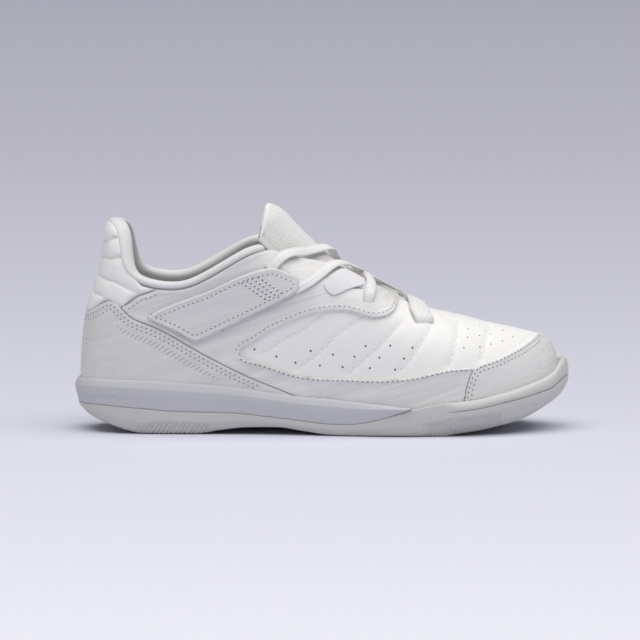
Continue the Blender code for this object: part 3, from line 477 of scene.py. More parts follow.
def grid_of(points, cloth=(1.0, 1.0)):
    """Mesh through rows and columns of points, with its doubles closed and a flat map in metres."""
    points = np.asarray(points, float)
    rows, columns = points.shape[:2]
    work = bmesh.new()
    flat_map = work.loops.layers.uv.new("cloth")
    bmesh.ops.create_grid(work, x_segments=columns - 1, y_segments=rows - 1, size=0.5)
    work.verts.ensure_lookup_table()
    for face in work.faces:
        for loop in face.loops:
            spot = loop.vert.co
            loop[flat_map].uv = ((spot.x + 0.5) * cloth[0], (spot.y + 0.5) * cloth[1])
    for vertex in work.verts:
        column = round((vertex.co.x + 0.5) * (columns - 1))
        row = round((vertex.co.y + 0.5) * (rows - 1))
        vertex.co = points[row, column]
    bmesh.ops.remove_doubles(work, verts=work.verts, dist=2e-6)
    return work


def settle(work, name, slot, materials, *nodes):
    """The finished work becomes a smooth piece in the part's frame that rides on the shoe."""
    mesh = bpy.data.meshes.new(name)
    for vertex in work.verts:
        vertex.co.x -= HEEL_SETBACK
    for face in work.faces:
        face.smooth = True
    work.to_mesh(mesh)
    work.free()
    piece = bpy.data.objects.new(name, mesh)
    scene.collection.objects.link(piece)
    for material in materials:
        mesh.materials.append(material)
    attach(piece, "root")
    if nodes:
        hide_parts(*nodes)
    return piece


def face_out(work):
    """Turns a closed shell's faces outwards."""
    bmesh.ops.recalc_face_normals(work, faces=work.faces)
    if work.calc_volume(signed=True) < 0:
        bmesh.ops.reverse_faces(work, faces=work.faces)


def add_wall(piece, thickness, edge=0.0, inner=0, rim=0):
    """Gives a sheet its wall, inwards, and rounds the wall's edges."""
    wall = piece.modifiers.new("wall", "SOLIDIFY")
    wall.thickness = thickness
    wall.offset = -1.0
    wall.use_even_offset = False
    wall.material_offset = inner
    wall.material_offset_rim = rim
    if edge:
        round_edge = piece.modifiers.new("edge", "BEVEL")
        round_edge.width = edge
        round_edge.segments = 2
        round_edge.limit_method = "ANGLE"
        round_edge.angle_limit = math.radians(50)
        round_edge.use_clamp_overlap = True


def near_line(points, line):
    """Distance of each point to the nearest stretch of a line."""
    best = np.full(len(points), 1.0)
    for here, ahead in zip(line[:-1], line[1:]):
        span = ahead - here
        share = np.clip(((points - here) @ span) / max(span @ span, 1e-14), 0, 1)
        best = np.minimum(best, np.linalg.norm(points - here - share[:, None] * span, axis=1))
    return best


def surface_group(name, outputs, **inputs):
    """Empty group of nodes with named inputs and outputs for a finish that several materials share."""
    group = bpy.data.node_groups.new(name, "ShaderNodeTree")
    for key, value in inputs.items():
        made = group.interface.new_socket(key, in_out="INPUT", socket_type="NodeSocketFloat")
        made.default_value = value
    for key in outputs:
        group.interface.new_socket(key, in_out="OUTPUT", socket_type="NodeSocketFloat")
    return group, group.nodes.new("NodeGroupInput"), group.nodes.new("NodeGroupOutput")


def use_group(tree, group, **values):
    """A shared finish placed in a material with its own values."""
    made = tree.nodes.new("ShaderNodeGroup")
    made.node_tree = group
    for key, value in values.items():
        made.inputs[key].default_value = value
    return made


def add_bump(tree, surface, height, depth, strength=1.0, under=None):
    """Bump of a real depth in metres into the shader's normal."""
    bump = add(tree, "Bump", {"Height": height}, Strength=strength, Distance=depth)
    if under is not None:
        tree.links.new(under.outputs["Normal"], bump.inputs["Normal"])
    tree.links.new(bump.outputs["Normal"], surface.inputs["Normal"])
    return bump


def add_tone(tree, surface, share, dark, light):
    """Base colour between two shades by a share that changes over the surface."""
    mixed = add(tree, "Mix", data_type="RGBA")
    tree.links.new(share, mixed.inputs["Factor"])
    for slot in mixed.inputs:
        if slot.type == "RGBA":
            slot.default_value = (*(dark if slot.name == "A" else light), 1.0)
    result = [slot for slot in mixed.outputs if slot.type == "RGBA"][0]
    tree.links.new(result, surface.inputs["Base Color"])


# fine pebbled grain of a coated synthetic: height and a slow change of tone
grain, grain_in, grain_out = surface_group("synthetic_grain", ("Height", "Tone"), Pebble=1500.0, Cloud=28.0)
spot = add(grain, "TexCoord")
pebbles = add(grain, "TexVoronoi", {"Vector": spot.outputs["Object"], "Scale": grain_in.outputs["Pebble"]})
pebbles.feature = "SMOOTH_F1"
cloud_links = {"Vector": spot.outputs["Object"], "Scale": grain_in.outputs["Cloud"]}
cloud = add(grain, "TexNoise", cloud_links, Detail=3.0)
grain.links.new(pebbles.outputs["Distance"], grain_out.inputs["Height"])
grain.links.new(cloud.outputs["Fac"], grain_out.inputs["Tone"])


def grained(name, colour, roughness, grains, dark, light, bump):
    """Material with the fine grain; grains are its pebbles and clouds per metre."""
    material, tree, surface = new_material(name, colour, roughness)
    finish = use_group(tree, grain, Pebble=grains[0], Cloud=grains[1])
    add_tone(tree, surface, finish.outputs["Tone"], dark, light)
    add_bump(tree, surface, finish.outputs["Height"], *bump)
    return material


def looped(name, colour, scale, evenness, dark, light, strength):
    """Fine looped cloth of the lining and the footbed."""
    material, tree, surface = new_material(name, colour, 0.9)
    surface.inputs["Sheen Weight"].default_value = 0.2
    place = add(tree, "TexCoord")
    loops = add(tree, "TexVoronoi", {"Vector": place.outputs["Object"]}, Scale=scale, Randomness=evenness)
    add_tone(tree, surface, loops.outputs["Distance"], dark, light)
    add_bump(tree, surface, loops.outputs["Distance"], 0.0002, strength)
    return material


def speckled(name, colour, roughness, scale, dark, light, detail=2.0, bump=None):
    """Material whose shade changes in fine specks, with a bump if it has a depth and a strength."""
    material, tree, surface = new_material(name, colour, roughness)
    place = add(tree, "TexCoord")
    specks = add(tree, "TexNoise", {"Vector": place.outputs["Object"]}, Scale=scale, Detail=detail)
    add_tone(tree, surface, specks.outputs["Fac"], dark, light)
    if bump:
        add_bump(tree, surface, specks.outputs["Fac"], *bump)
    return material



UPPER_COLUMNS = 230
UPPER_ROWS = 64
QUILT_DEPTH = 0.00055
QUILT_HALF_WIDTH = 0.0013
QUILT_PUFF = 0.0003
# slanting stitch rows of the vamp, in millimetres along the shoe and up the picture
QUILT_ROWS = (
    ((114, 51.6), (103.3, 44.2), (96.8, 40.9), (92.1, 37.7), (86.1, 34.4)),
    ((132.6, 50.9), (123.3, 44.2), (118, 39.6), (114, 35.6), (107.9, 31), (103.3, 27.6)),
    ((151.2, 48.9), (145.2, 42.9), (139.9, 36.9), (134.5, 32.3), (129.8, 28.4), (126.6, 25.3)),
    ((165.8, 49.6), (163.2, 43.6), (160.5, 39.6), (155.9, 33), (152.6, 29), (149.8, 26.3)),
    ((178.2, 50.5), (176.8, 42.8), (175.1, 34.3), (172.5, 29)),
    ((192.6, 47.2), (190.3, 40), (188.4, 32.3)),
)
# crosswise creases of the vamp where the toes bend: place around, depth, half width
CREASES = ((0.735, 0.00022, 0.0026), (0.772, 0.00030, 0.0030), (0.812, 0.00020, 0.0028))


def dense_line(points, gap):
    """Smooth line through points, about gap apart."""
    points = np.asarray(points, float)
    knots = run_lengths(points)
    return spline(knots, points, np.linspace(0, knots[-1], max(2, int(knots[-1] / gap) + 1)))


quilt_lines = {side: [] for side in (-1, 1)}
for side in (-1, 1):
    for rows in QUILT_ROWS:
        around, up = find_seen(dense_line(rows, 2.0), side)
        quilt_lines[side].append((around, up, point_on_last(around, up, side)))


def vamp_relief(around, up, side, base):
    """Height of the quilted vamp over the last: troughs under the stitch rows, soft cushions between."""
    relief = np.zeros(len(around))
    for one in (-1, 1):
        mine = side == one
        nearest = np.full(mine.sum(), 1.0)
        for _, _, line in quilt_lines[one]:
            nearest = np.minimum(nearest, near_line(base[mine], line))
        cushion = QUILT_PUFF * (1 - np.exp(-nearest / 0.004))
        trough = QUILT_DEPTH * np.exp(-((nearest / QUILT_HALF_WIDTH) ** 2))
        relief[mine] = cushion - trough
    for place, depth, half in CREASES:
        bend = (around - place + 0.03 * (1 - up)) * 0.27
        relief -= depth * np.exp(-((bend / half) ** 2)) * ease(0.45, 0.8, up)
    return relief * ease(0.30, 0.42, around) * (1 - ease(0.93, 0.98, around))


columns = np.linspace(0, 1, UPPER_COLUMNS + 1)
ring_around = np.concatenate([columns, columns[-2::-1]])
ring_side = np.concatenate([-np.ones(UPPER_COLUMNS + 1), np.ones(UPPER_COLUMNS)])
levels = np.linspace(0, 1, UPPER_ROWS + 1)
grid_a, grid_u = np.meshgrid(ring_around, levels)
grid_side = np.broadcast_to(ring_side, grid_a.shape)
base = point_on_last(grid_a, grid_u, grid_side).reshape(-1, 3)
relief = vamp_relief(grid_a.ravel(), grid_u.ravel(), grid_side.ravel(), base)
relief = relief.reshape(grid_a.shape)
relief[:, ring_around == 1] = 0
upper_points = lifted_point(grid_a, grid_u, grid_side, relief)

VAMP_TONES = (0.92, 0.92, 0.912), (0.95, 0.95, 0.942)
vamp_skin = grained("vamp_synthetic", (0.88, 0.88, 0.88), 0.55, (1300.0, 40.0), *VAMP_TONES, (0.00012, 0.6))
LINING_TONES = (0.84, 0.84, 0.85), (0.66, 0.66, 0.68)
lining_cloth = looped("lining_knit", (0.80, 0.80, 0.81), 1100.0, 1.0, *LINING_TONES, 0.6)

upper_work = grid_of(upper_points, (0.55, 0.07))
bmesh.ops.recalc_face_normals(upper_work, faces=upper_work.faces)
upper_work.faces.ensure_lookup_table()
if upper_work.faces[UPPER_COLUMNS // 2].normal.y > 0:
    bmesh.ops.reverse_faces(upper_work, faces=upper_work.faces)
upper = settle(upper_work, "upper_shell", "upper_synthetic", (vamp_skin, lining_cloth), "upper")
add_wall(upper, UPPER_WALL - 0.0002, inner=1, rim=1)

# The overlays: smooth coated panels, 1.2 mm, cut to shape, laid over the shell and stitched down.
# Quarters reach from the heel seam round the vamp's window to the toe cap; the counter cups the heel.
PANEL_WALL = 0.0012
PANEL_EDGE = 0.00035
COUNTER_PROUD = 0.0004
CAP_PROUD = 0.0002
QUARTER_PUFF = 0.0005
COUNTER_PUFF = 0.0003
CAP_PUFF = 0.0003
OUTLINE_GAP = 0.0008
# corners nearer than this to an outline are welded to it
TIGHT = 0.0004
# places apart along the rim and the foot, and where the outlines leave the heel's middle
EDGE_STEP = 0.003
HEEL_START = 0.004
# side-view gap between two overlays that meet
OVERLAY_GAP = 0.00045
SEAM_SWELL_AT = 0.0009
SEAM_SWELL_WIDTH = 0.0008
# a side-view line is read off the last up to here, and runs straight on to the vamp's crest
CREST_LEVEL = 0.965
CREST_FROM = 0.70
# x as a share of the length, height as a share from footbed to rim
COUNTER_EDGE = (
    (-0.020, 0.465),
    (0.020, 0.470),
    (0.054, 0.520),
    (0.078, 0.575),
    (0.116, 0.670),
    (0.155, 0.655),
    (0.196, 0.585),
    (0.245, 0.440),
    (0.296, 0.300),
    (0.376, 0.155),
    (0.442, 0.090),
    (0.475, 0.045),
    (0.505, -0.010),
    (0.530, -0.300),
)
COUNTER_HEEL_UP = 0.467
QUARTER_REAR_SEAM = (
    (0.094, 0.618),
    (0.115, 0.774),
    (0.136, 0.893),
    (0.156, 0.951),
    (0.1765, 1.030),
)
WINDOW_TOP = (
    (0.656, 1.300),
    (0.650, 0.980),
    (0.640, 0.880),
    (0.621, 0.810),
    (0.602, 0.775),
    (0.555, 0.745),
    (0.516, 0.710),
    (0.476, 0.665),
    (0.436, 0.590),
    (0.396, 0.500),
    (0.356, 0.420),
    (0.336, 0.380),
    (0.333, 0.345),
)
WINDOW_BOTTOM = (
    (0.333, 0.345),
    (0.342, 0.320),
    (0.376, 0.280),
    (0.416, 0.250),
    (0.476, 0.230),
    (0.535, 0.245),
    (0.615, 0.290),
    (0.694, 0.375),
    (0.754, 0.465),
    (0.802, 0.4975),
)
TOE_CAP_EDGE = (
    (0.777, -0.300),
    (0.783, 0.180),
    (0.788, 0.310),
    (0.7935, 0.400),
    (0.7985, 0.455),
    (0.804, 0.4975),
    (0.812, 0.527),
    (0.824, 0.556),
    (0.840, 0.589),
    (0.860, 0.640),
    (0.880, 0.701),
    (0.900, 0.771),
    (0.920, 0.863),
    (0.932, 0.951),
    (0.938, 1.300),
)
UNDER_CAP = 5
TOE_STEPS = 36


def share_points(rows):
    """Side-view points (x, z) through rows of shares of the length and of footbed to rim."""
    shares = np.array(rows)
    x = shares[:, 0] * SHOE_LENGTH
    low = level_line(FLOOR_LINE, x)
    return np.stack([x, low + (rim_height(x) - low) * shares[:, 1]], axis=1)


def level_share(line):
    """How far up from footbed to rim side-view points stand, as a share."""
    low = level_line(FLOOR_LINE, line[:, 0])
    return (line[:, 1] - low) / (rim_height(line[:, 0]) - low)


def side_line(rows, shift=(0.0, 0.0)):
    """Side-view line (x, z) through rows of shares, kept between the footbed and the rim."""
    line = dense_line(share_points(rows) + shift, OUTLINE_GAP)
    level = level_share(line)
    inside = np.flatnonzero((level > 0) & (level < 1))
    first, last = inside[0], inside[-1]
    pieces = [line[first : last + 1]]
    for here, ahead, front in ((first, first - 1, True), (last, last + 1, False)):
        if 0 <= ahead < len(line):
            edge = 1.0 if level[ahead] >= 1 else 0.0
            share = (edge - level[here]) / (level[ahead] - level[here])
            cross = (line[here] + (line[ahead] - line[here]) * share)[None]
            pieces = [cross] + pieces if front else pieces + [cross]
    return np.concatenate(pieces)


def line_places(line, side):
    """Around and up of a side-view line on one side of the last, exact at the rim and the foot."""
    around, up = find_place(line[:, 0], line[:, 1], side)
    table = np.linspace(0, 1, 400)
    level = level_share(line)
    rim_x = point_on_last(table, 1.0, side)[:, 0]
    foot_x = point_on_last(table, 0.0, side)[:, 0]
    top, foot = level > 1 - 1e-6, level < 1e-6
    around = np.where(top, np.interp(line[:, 0], rim_x, table), around)
    around = np.where(foot, np.interp(line[:, 0], foot_x, table), around)
    near_crest = (level > CREST_LEVEL) & ~top & (around >= CREST_FROM)
    up = np.where(top, 1.0, np.where(foot, 0.0, up))
    past = top & (line[:, 0] > rim_x[-1])
    toe_x = point_on_last(1.0, table, side)[:, 0]
    up = np.where(past, np.interp(line[:, 0], toe_x[::-1], table[::-1]), up)
    return np.stack([around, up], axis=1)[~near_crest]


def edge_run(start, end, up):
    """Places along the rim (up 1) or the foot (up 0) of the last."""
    count = max(2, int(abs(end - start) / EDGE_STEP) + 1)
    return np.stack([np.linspace(start, end, count), np.full(count, float(up))], axis=1)[1:-1]


def lay_panel(outlines, lift_at, step_around=0.0042, step_up=0.019):
    """Panel cut along outlines {side: places} and laid on the last; lift_at gives its height over it."""
    work = bmesh.new()
    edges = {}
    for side, outline in outlines.items():
        work.faces.new([work.verts.new((a, u, side)) for a, u in outline])
        closed = np.concatenate([outline, outline[:1]])
        seam = (closed[:, 0] < 1e-9) | (closed[:, 0] > 1 - 1e-9)
        seam |= (closed[:, 1] > 1 - 1e-9) & (closed[:, 0] >= THROAT_END)
        spots = point_on_last(closed[:, 0], closed[:, 1], side)
        runs = [i for i in range(len(spots) - 1) if not (seam[i] and seam[i + 1])]
        edges[side] = [(spots[i], spots[i + 1]) for i in runs]
    for way, step in (((1, 0, 0), step_around), ((0, 1, 0), step_up)):
        for value in np.arange(step, 1, step):
            everything = work.verts[:] + work.edges[:] + work.faces[:]
            spot = Vector(way) * value
            bmesh.ops.bisect_plane(work, geom=everything, dist=1e-6, plane_co=spot, plane_no=way)
    flat = np.array([vertex.co for vertex in work.verts])
    spots = point_on_last(flat[:, 0], flat[:, 1], flat[:, 2])
    targets = {}
    work.verts.ensure_lookup_table()
    count = sum(len(outline) for outline in outlines.values())
    for side in outlines:
        owners = np.flatnonzero(flat[:count, 2] == side)
        others = count + np.flatnonzero(flat[count:, 2] == side)
        gaps = np.linalg.norm(spots[others][:, None] - spots[owners][None], axis=2)
        for other, owner, gap in zip(others, owners[gaps.argmin(axis=1)], gaps.min(axis=1)):
            on_seam = flat[other, 0] in (0.0, 1.0) or flat[other, 1] == 1.0
            if gap < TIGHT and not on_seam:
                targets[work.verts[int(other)]] = work.verts[int(owner)]
    bmesh.ops.weld_verts(work, targetmap=targets)
    bmesh.ops.dissolve_degenerate(work, dist=1e-6, edges=work.edges)
    flat = np.array([vertex.co for vertex in work.verts])
    sides = np.where(flat[:, 2] > 0, 1.0, -1.0)
    spots = point_on_last(flat[:, 0], flat[:, 1], sides)
    outward = last_normal(flat[:, 0], flat[:, 1], sides)
    distance = np.full(len(spots), 1.0)
    for side, parts in edges.items():
        mine = sides == side
        for here, ahead in parts:
            distance[mine] = np.minimum(distance[mine], near_line(spots[mine], np.array([here, ahead])))
    lift = lift_at(distance, spots)
    for vertex, spot, way, high in zip(work.verts, spots, outward, lift):
        vertex.co = spot + way * high
    ways = [Vector(way) for way in outward]
    work.verts.index_update()
    work.normal_update()
    turned = [face for face in work.faces if face.normal.dot(ways[face.verts[0].index]) < 0]
    bmesh.ops.reverse_faces(work, faces=turned)
    bmesh.ops.remove_doubles(work, verts=work.verts, dist=2e-6)
    return work


def lay_both(outline, lift_at, *steps):
    """Panel on both sides of the last in one, joined along the shoe's middle."""
    return lay_panel({side: outline(side) for side in (-1, 1)}, lift_at, *steps)


def puffed(height, puff, distance):
    """Height of a panel at a distance in from its edge, where it swells faintly beside the seam."""
    return height + puff * np.exp(-(((distance - SEAM_SWELL_AT) / SEAM_SWELL_WIDTH) ** 2))


def flat_lift(height, puff=0.0):
    """Lift of an even panel, with a faint swelling inside its edge."""
    return lambda distance, spots: puffed(height, puff, distance)


counter_line = side_line(COUNTER_EDGE)
rear_line = side_line(QUARTER_REAR_SEAM, shift=(OVERLAY_GAP, 0.0))
window_top = side_line(WINDOW_TOP)
window_bottom = side_line(WINDOW_BOTTOM)
toe_line = side_line(TOE_CAP_EDGE[UNDER_CAP::-1], shift=(-OVERLAY_GAP, 0.0))
cap_line = side_line(TOE_CAP_EDGE)
counter_back = side_line(COUNTER_EDGE[2:], shift=(0.0, OVERLAY_GAP))
start = int(np.argmin(np.abs(counter_back[:, 0] - rear_line[0, 0])))
under_quarter = counter_back[start + 1 :]


def quarter_outline(side):
    """Outline of a quarter with its eyestay and mudguard, as places on one side of the last."""
    rear = line_places(rear_line, side)
    top = line_places(window_top, side)
    bottom = line_places(window_bottom, side)
    front = line_places(toe_line, side)
    back = line_places(under_quarter, side)[::-1]
    rim = edge_run(rear[-1, 0], top[0, 0], 1.0)
    foot = edge_run(front[-1, 0], back[0, 0], 0.0)
    return np.concatenate([rear, rim, top, bottom[1:], front[1:], foot, back])


def heel_outline(line, heel_up, far_up, side):
    """Outline of a piece round the heel: its seam line, then the foot (far_up 0) or the rim (far_up 1)."""
    edge = line_places(line, side)
    edge = edge[int(np.flatnonzero(edge[:, 0] < HEEL_START)[-1]) + 1 :]
    back = edge_run(edge[-1, 0], 0.0, far_up)
    return np.concatenate([[[0.0, heel_up]], edge, back, [[0.0, far_up]]])


def cap_outline(side):
    """Outline of the toe cap on one side, closed along the toe's middle and the crest."""
    edge = line_places(cap_line, side)
    toe = np.stack([np.ones(TOE_STEPS), np.linspace(edge[-1, 1], 0, TOE_STEPS)], axis=1)
    foot = edge_run(1.0, edge[0, 0], 0.0)
    return np.concatenate([edge[:-1], toe, foot])


# brushed streaks of the coated overlays, rising towards the toe: height, tone and gloss
brushed, brushed_in, brushed_out = surface_group("brushed_streaks", ("Height", "Tone"), Streaks=900.0)
spot = add(brushed, "TexCoord")
leaning = add(brushed, "VectorRotate", {"Vector": spot.outputs["Object"]}, rotation_type="Y_AXIS")
leaning.inputs["Angle"].default_value = math.radians(17.0)
turned = add(brushed, "Mapping", {"Vector": leaning.outputs[0]})
turned.inputs["Scale"].default_value = (0.035, 0.25, 1.0)
fine_links = {"Vector": turned.outputs[0], "Scale": brushed_in.outputs["Streaks"]}
fine = add(brushed, "TexNoise", fine_links, Detail=4.0)
broad_scale = math_node(brushed, "MULTIPLY", brushed_in.outputs["Streaks"], 0.16)
broad = add(brushed, "TexNoise", {"Vector": turned.outputs[0], "Scale": broad_scale}, Detail=2.0)
both = math_node(brushed, "ADD", fine.outputs["Fac"], broad.outputs["Fac"])
brushed.links.new(fine.outputs["Fac"], brushed_out.inputs["Height"])
brushed.links.new(math_node(brushed, "MULTIPLY", both, 0.5), brushed_out.inputs["Tone"])


def overlay_material(name, dark, light, roughness):
    """Coated synthetic with brushed streaks over a fine grain."""
    material, tree, surface = new_material(name, light, roughness)
    streaks = use_group(tree, brushed, Streaks=900.0)
    tone = add(tree, "MapRange", {0: streaks.outputs["Tone"]}, From_Min=0.3, From_Max=0.7)
    add_tone(tree, surface, tone.outputs[0], dark, light)
    gloss = add(tree, "MapRange", {0: streaks.outputs["Tone"]}, From_Min=0.3, From_Max=0.7)
    gloss.inputs["To Min"].default_value = roughness - 0.08
    gloss.inputs["To Max"].default_value = roughness + 0.08
    tree.links.new(gloss.outputs[0], surface.inputs["Roughness"])
    finish = use_group(tree, grain, Pebble=1800.0, Cloud=30.0)
    low = add_bump(tree, surface, finish.outputs["Height"], 0.00005, 0.4)
    add_bump(tree, surface, streaks.outputs["Height"], 0.00010, 0.5, low)
    return material


quarter_skin = overlay_material("quarter_synthetic", (0.68, 0.68, 0.685), (0.90, 0.90, 0.895), 0.42)
# the counter: the quarters' synthetic, its colour painted darker as painted shade on the heel's rear
counter_shaded_skin = overlay_material("counter_synthetic_painted_shade", (0.69, 0.69, 0.69), (0.79, 0.79, 0.785), 0.44)
cap_skin = overlay_material("toe_cap_synthetic", (0.70, 0.70, 0.705), (0.86, 0.86, 0.86), 0.42)
EDGE_TONES = (0.82, 0.80, 0.74), (0.90, 0.885, 0.84)
cut_edge = grained("cut_edge", (0.74, 0.72, 0.66), 0.7, (2200.0, 60.0), *EDGE_TONES, (0.0001, 0.5))

overlay_top = SEAM_GAP + PANEL_WALL
for side, name in ((-1, "quarter_lateral"), (1, "quarter_medial")):
    work = lay_panel({side: quarter_outline(side)}, flat_lift(overlay_top, QUARTER_PUFF))
    panel = settle(work, name + "_panel", "overlay_synthetic", (quarter_skin, cut_edge), name)
    add_wall(panel, PANEL_WALL, PANEL_EDGE, rim=1)
on_counter = overlay_top + COUNTER_PROUD
on_cap = overlay_top + CAP_PROUD
counter_outline = lambda side: heel_outline(counter_line, COUNTER_HEEL_UP, 0.0, side)
work = lay_both(counter_outline, flat_lift(on_counter, COUNTER_PUFF))
counter = settle(work, "heel_counter_panel", "overlay_synthetic", (counter_shaded_skin, cut_edge), "heel_counter")
add_wall(counter, PANEL_WALL + COUNTER_PROUD, PANEL_EDGE, rim=1)
work = lay_both(cap_outline, flat_lift(on_cap, CAP_PUFF))
toe_cap = settle(work, "toe_cap_panel", "overlay_synthetic", (cap_skin, cut_edge), "toe_cap")
add_wall(toe_cap, PANEL_WALL + CAP_PROUD, PANEL_EDGE, rim=1)

# The strap: a padded tab of the same synthetic across the outer quarter, glued and stitched at its rim.
# Its border stands up round a smooth sunk field.
STRAP_WALL = 0.0019
STRAP_PUFF = 0.0005
STRAP_EDGE_RADIUS = 0.0009
STRAP_BORDER = 0.0011
STRAP_SINK = 0.00035
STRAP_SLOPE = 0.0008
STRAP_FLOAT = 0.0002
CORNER_CUTS = 2
STRAP_OUTLINE = (
    (0.151, 0.718),
    (0.155, 0.748),
    (0.170, 0.796),
    (0.192, 0.854),
    (0.233, 0.900),
    (0.273, 0.909),
    (0.314, 0.900),
    (0.354, 0.899),
    (0.398, 0.900),
    (0.407, 0.898),
    (0.444, 0.885),
    (0.452, 0.872),
    (0.4545, 0.820),
    (0.4465, 0.775),
    (0.415, 0.697),
    (0.374, 0.620),
    (0.334, 0.583),
    (0.293, 0.554),
    (0.256, 0.520),
    (0.243, 0.515),
    (0.234, 0.540),
    (0.212, 0.612),
    (0.192, 0.657),
    (0.172, 0.690),
)


def cut_out(rows):
    """Closed side-view line through rows of shares, its corners rounded by cutting them off."""
    line = share_points(rows)
    for _ in range(CORNER_CUTS):
        ahead = np.roll(line, -1, axis=0)
        line = np.stack([0.75 * line + 0.25 * ahead, 0.25 * line + 0.75 * ahead], axis=1).reshape(-1, 2)
    return line


def round_edge(distance, radius):
    """Height share of a quarter-round edge at a distance in from it."""
    return np.sqrt(1 - (1 - np.minimum(distance / radius, 1)) ** 2)


def strap_lift(distance, spots):
    """Rounded border, then the sunk field."""
    border = round_edge(distance, STRAP_EDGE_RADIUS)
    sunk = ease(STRAP_BORDER, STRAP_BORDER + STRAP_SLOPE, distance)
    wall = STRAP_WALL * (0.45 + 0.55 * border)
    return overlay_top + STRAP_FLOAT + wall + STRAP_PUFF * border - STRAP_SINK * sunk


strap_line = cut_out(STRAP_OUTLINE)
strap_skin = overlay_material("strap_synthetic", (0.68, 0.68, 0.69), (0.80, 0.80, 0.805), 0.45)
work = lay_panel({-1: line_places(strap_line, -1)}, strap_lift, 0.0024, 0.010)
strap = settle(work, "strap_tab", "overlay_synthetic", (strap_skin, cut_edge), "strap")
add_wall(strap, STRAP_WALL * 0.8, rim=0)

# The heel pad: foam pillows under soft synthetic round the back of the heel, sewn down between the
# pillows, under the collar and above the counter. First come the places of the grooves
# between the pillows, as places from the heel's middle forwards
PAD_GROOVES = (
    ((0.000, 0.905), (0.045, 0.930), (0.085, 1.000)),
    ((0.000, 0.796), (0.055, 0.845), (0.107, 0.937), (0.130, 1.000)),
    ((0.000, 0.704), (0.045, 0.712), (0.100, 0.785), (0.150, 0.875), (0.190, 0.915)),
    ((0.000, 0.606), (0.040, 0.610), (0.085, 0.640), (0.133, 0.700)),
)
PAD_CREST = 0.0024
PAD_GROOVE = 0.0008
PAD_ROUND = 0.0032
PAD_TOP_UP = 0.0026
PAD_TOP_IN = 0.0022
PAD_HEEL_UP = 0.474
pad_line = side_line(COUNTER_EDGE[:4] + QUARTER_REAR_SEAM, shift=(-0.00035, 0.0004))
pad_seams = [
    point_on_last(*dense_line(places, 0.004).T, side) for places in PAD_GROOVES for side in (-1, 1)
]


def pad_lift(distance, spots):
    """Pillows that round down to the grooves between them and to the pad's edge."""
    nearest = distance
    for seam in pad_seams:
        nearest = np.minimum(nearest, near_line(spots, seam))
    return PAD_GROOVE + (PAD_CREST - PAD_GROOVE) * round_edge(nearest, PAD_ROUND)


PAD_TONES = (0.93, 0.93, 0.93), (0.96, 0.96, 0.955)
pad_skin = grained("pad_synthetic", (0.86, 0.86, 0.87), 0.45, (1600.0, 35.0), *PAD_TONES, (0.00008, 0.5))
work = lay_both(lambda side: heel_outline(pad_line, PAD_HEEL_UP, 1.0, side), pad_lift, 0.0026, 0.010)
top_edge = np.concatenate([rim_point(np.linspace(0, 0.2, 40)[::way], -way) for way in (-1, 1)])
for vertex, gap in zip(work.verts, near_line(np.array([vertex.co for vertex in work.verts]), top_edge)):
    share = float(1 - ease(0.0010, 0.0052, gap)) * float(1 - ease(0.024, 0.032, vertex.co.x))
    vertex.co.x += PAD_TOP_IN * share
    vertex.co.z += PAD_TOP_UP * math.sqrt(share)
heel_pad = settle(work, "heel_pad_pillows", "padding", (pad_skin,), "heel_pad")
add_wall(heel_pad, PAD_GROOVE - 0.0001)

# The collar: a foam roll covered in fine knit, along the topline from the throat round the heel tab.
ROLL_IN = 0.0015
ROLL_TAB_IN = 0.0024
ROLL_OUTER_HALF = 0.0018
ROLL_INNER_HALF = 0.0027
ROLL_HALF_WIDTH = 0.0034
ROLL_END = 0.466
ROLL_SIDES = 20
ROLL_COLUMNS = 260
signed = np.linspace(-ROLL_END, ROLL_END, ROLL_COLUMNS + 1)
roll_a, roll_side = np.abs(signed), np.where(signed < 0, -1.0, 1.0)
path = rim_point(roll_a, roll_side)
ahead = unit(np.gradient(path, axis=0))
outward = unit(np.stack([-ahead[:, 1], ahead[:, 0], np.zeros(len(ahead))], axis=1))
upward = np.cross(outward, ahead)
upward *= np.sign(upward[:, 2:3])
size = np.maximum(round_edge(ROLL_END - roll_a, 0.012), 1e-4)
half_height = np.where(roll_side < 0, ROLL_OUTER_HALF, ROLL_INNER_HALF)
half_height = ROLL_OUTER_HALF + (half_height - ROLL_OUTER_HALF) * ease(0.05, 0.15, roll_a)
roll_in = ROLL_IN + ROLL_TAB_IN * (1 - ease(0.06, 0.15, roll_a))
middle = path + upward * (SEAM_GAP + half_height * size)[:, None] - outward * roll_in[:, None]
turn = np.linspace(0, 2 * math.pi, ROLL_SIDES + 1)[:, None, None]
roll_points = (
    middle
    + outward * (ROLL_HALF_WIDTH * size)[:, None] * np.cos(turn)
    + upward * (half_height * size)[:, None] * np.sin(turn)
)
roll_points[-1] = roll_points[0]
knit, knit_in, knit_out = surface_group("fine_knit", ("Height",), Courses=900.0, Wales=700.0)
place = add(knit, "UVMap", uv_map="cloth")
split = add(knit, "SeparateXYZ", {0: place.outputs["UV"]})
across = math_node(knit, "SINE", math_node(knit, "MULTIPLY", split.outputs["X"], knit_in.outputs["Wales"]))
lean = math_node(knit, "MULTIPLY", math_node(knit, "ABSOLUTE", across), 1.6)
rows_at = math_node(knit, "MULTIPLY", split.outputs["Y"], knit_in.outputs["Courses"])
along = math_node(knit, "SINE", math_node(knit, "ADD", rows_at, lean))
raised = math_node(knit, "ADD", along, 1.0)
stitch = math_node(knit, "MULTIPLY", raised, math_node(knit, "ABSOLUTE", across))
knit.links.new(math_node(knit, "MULTIPLY", stitch, 0.5), knit_out.inputs["Height"])


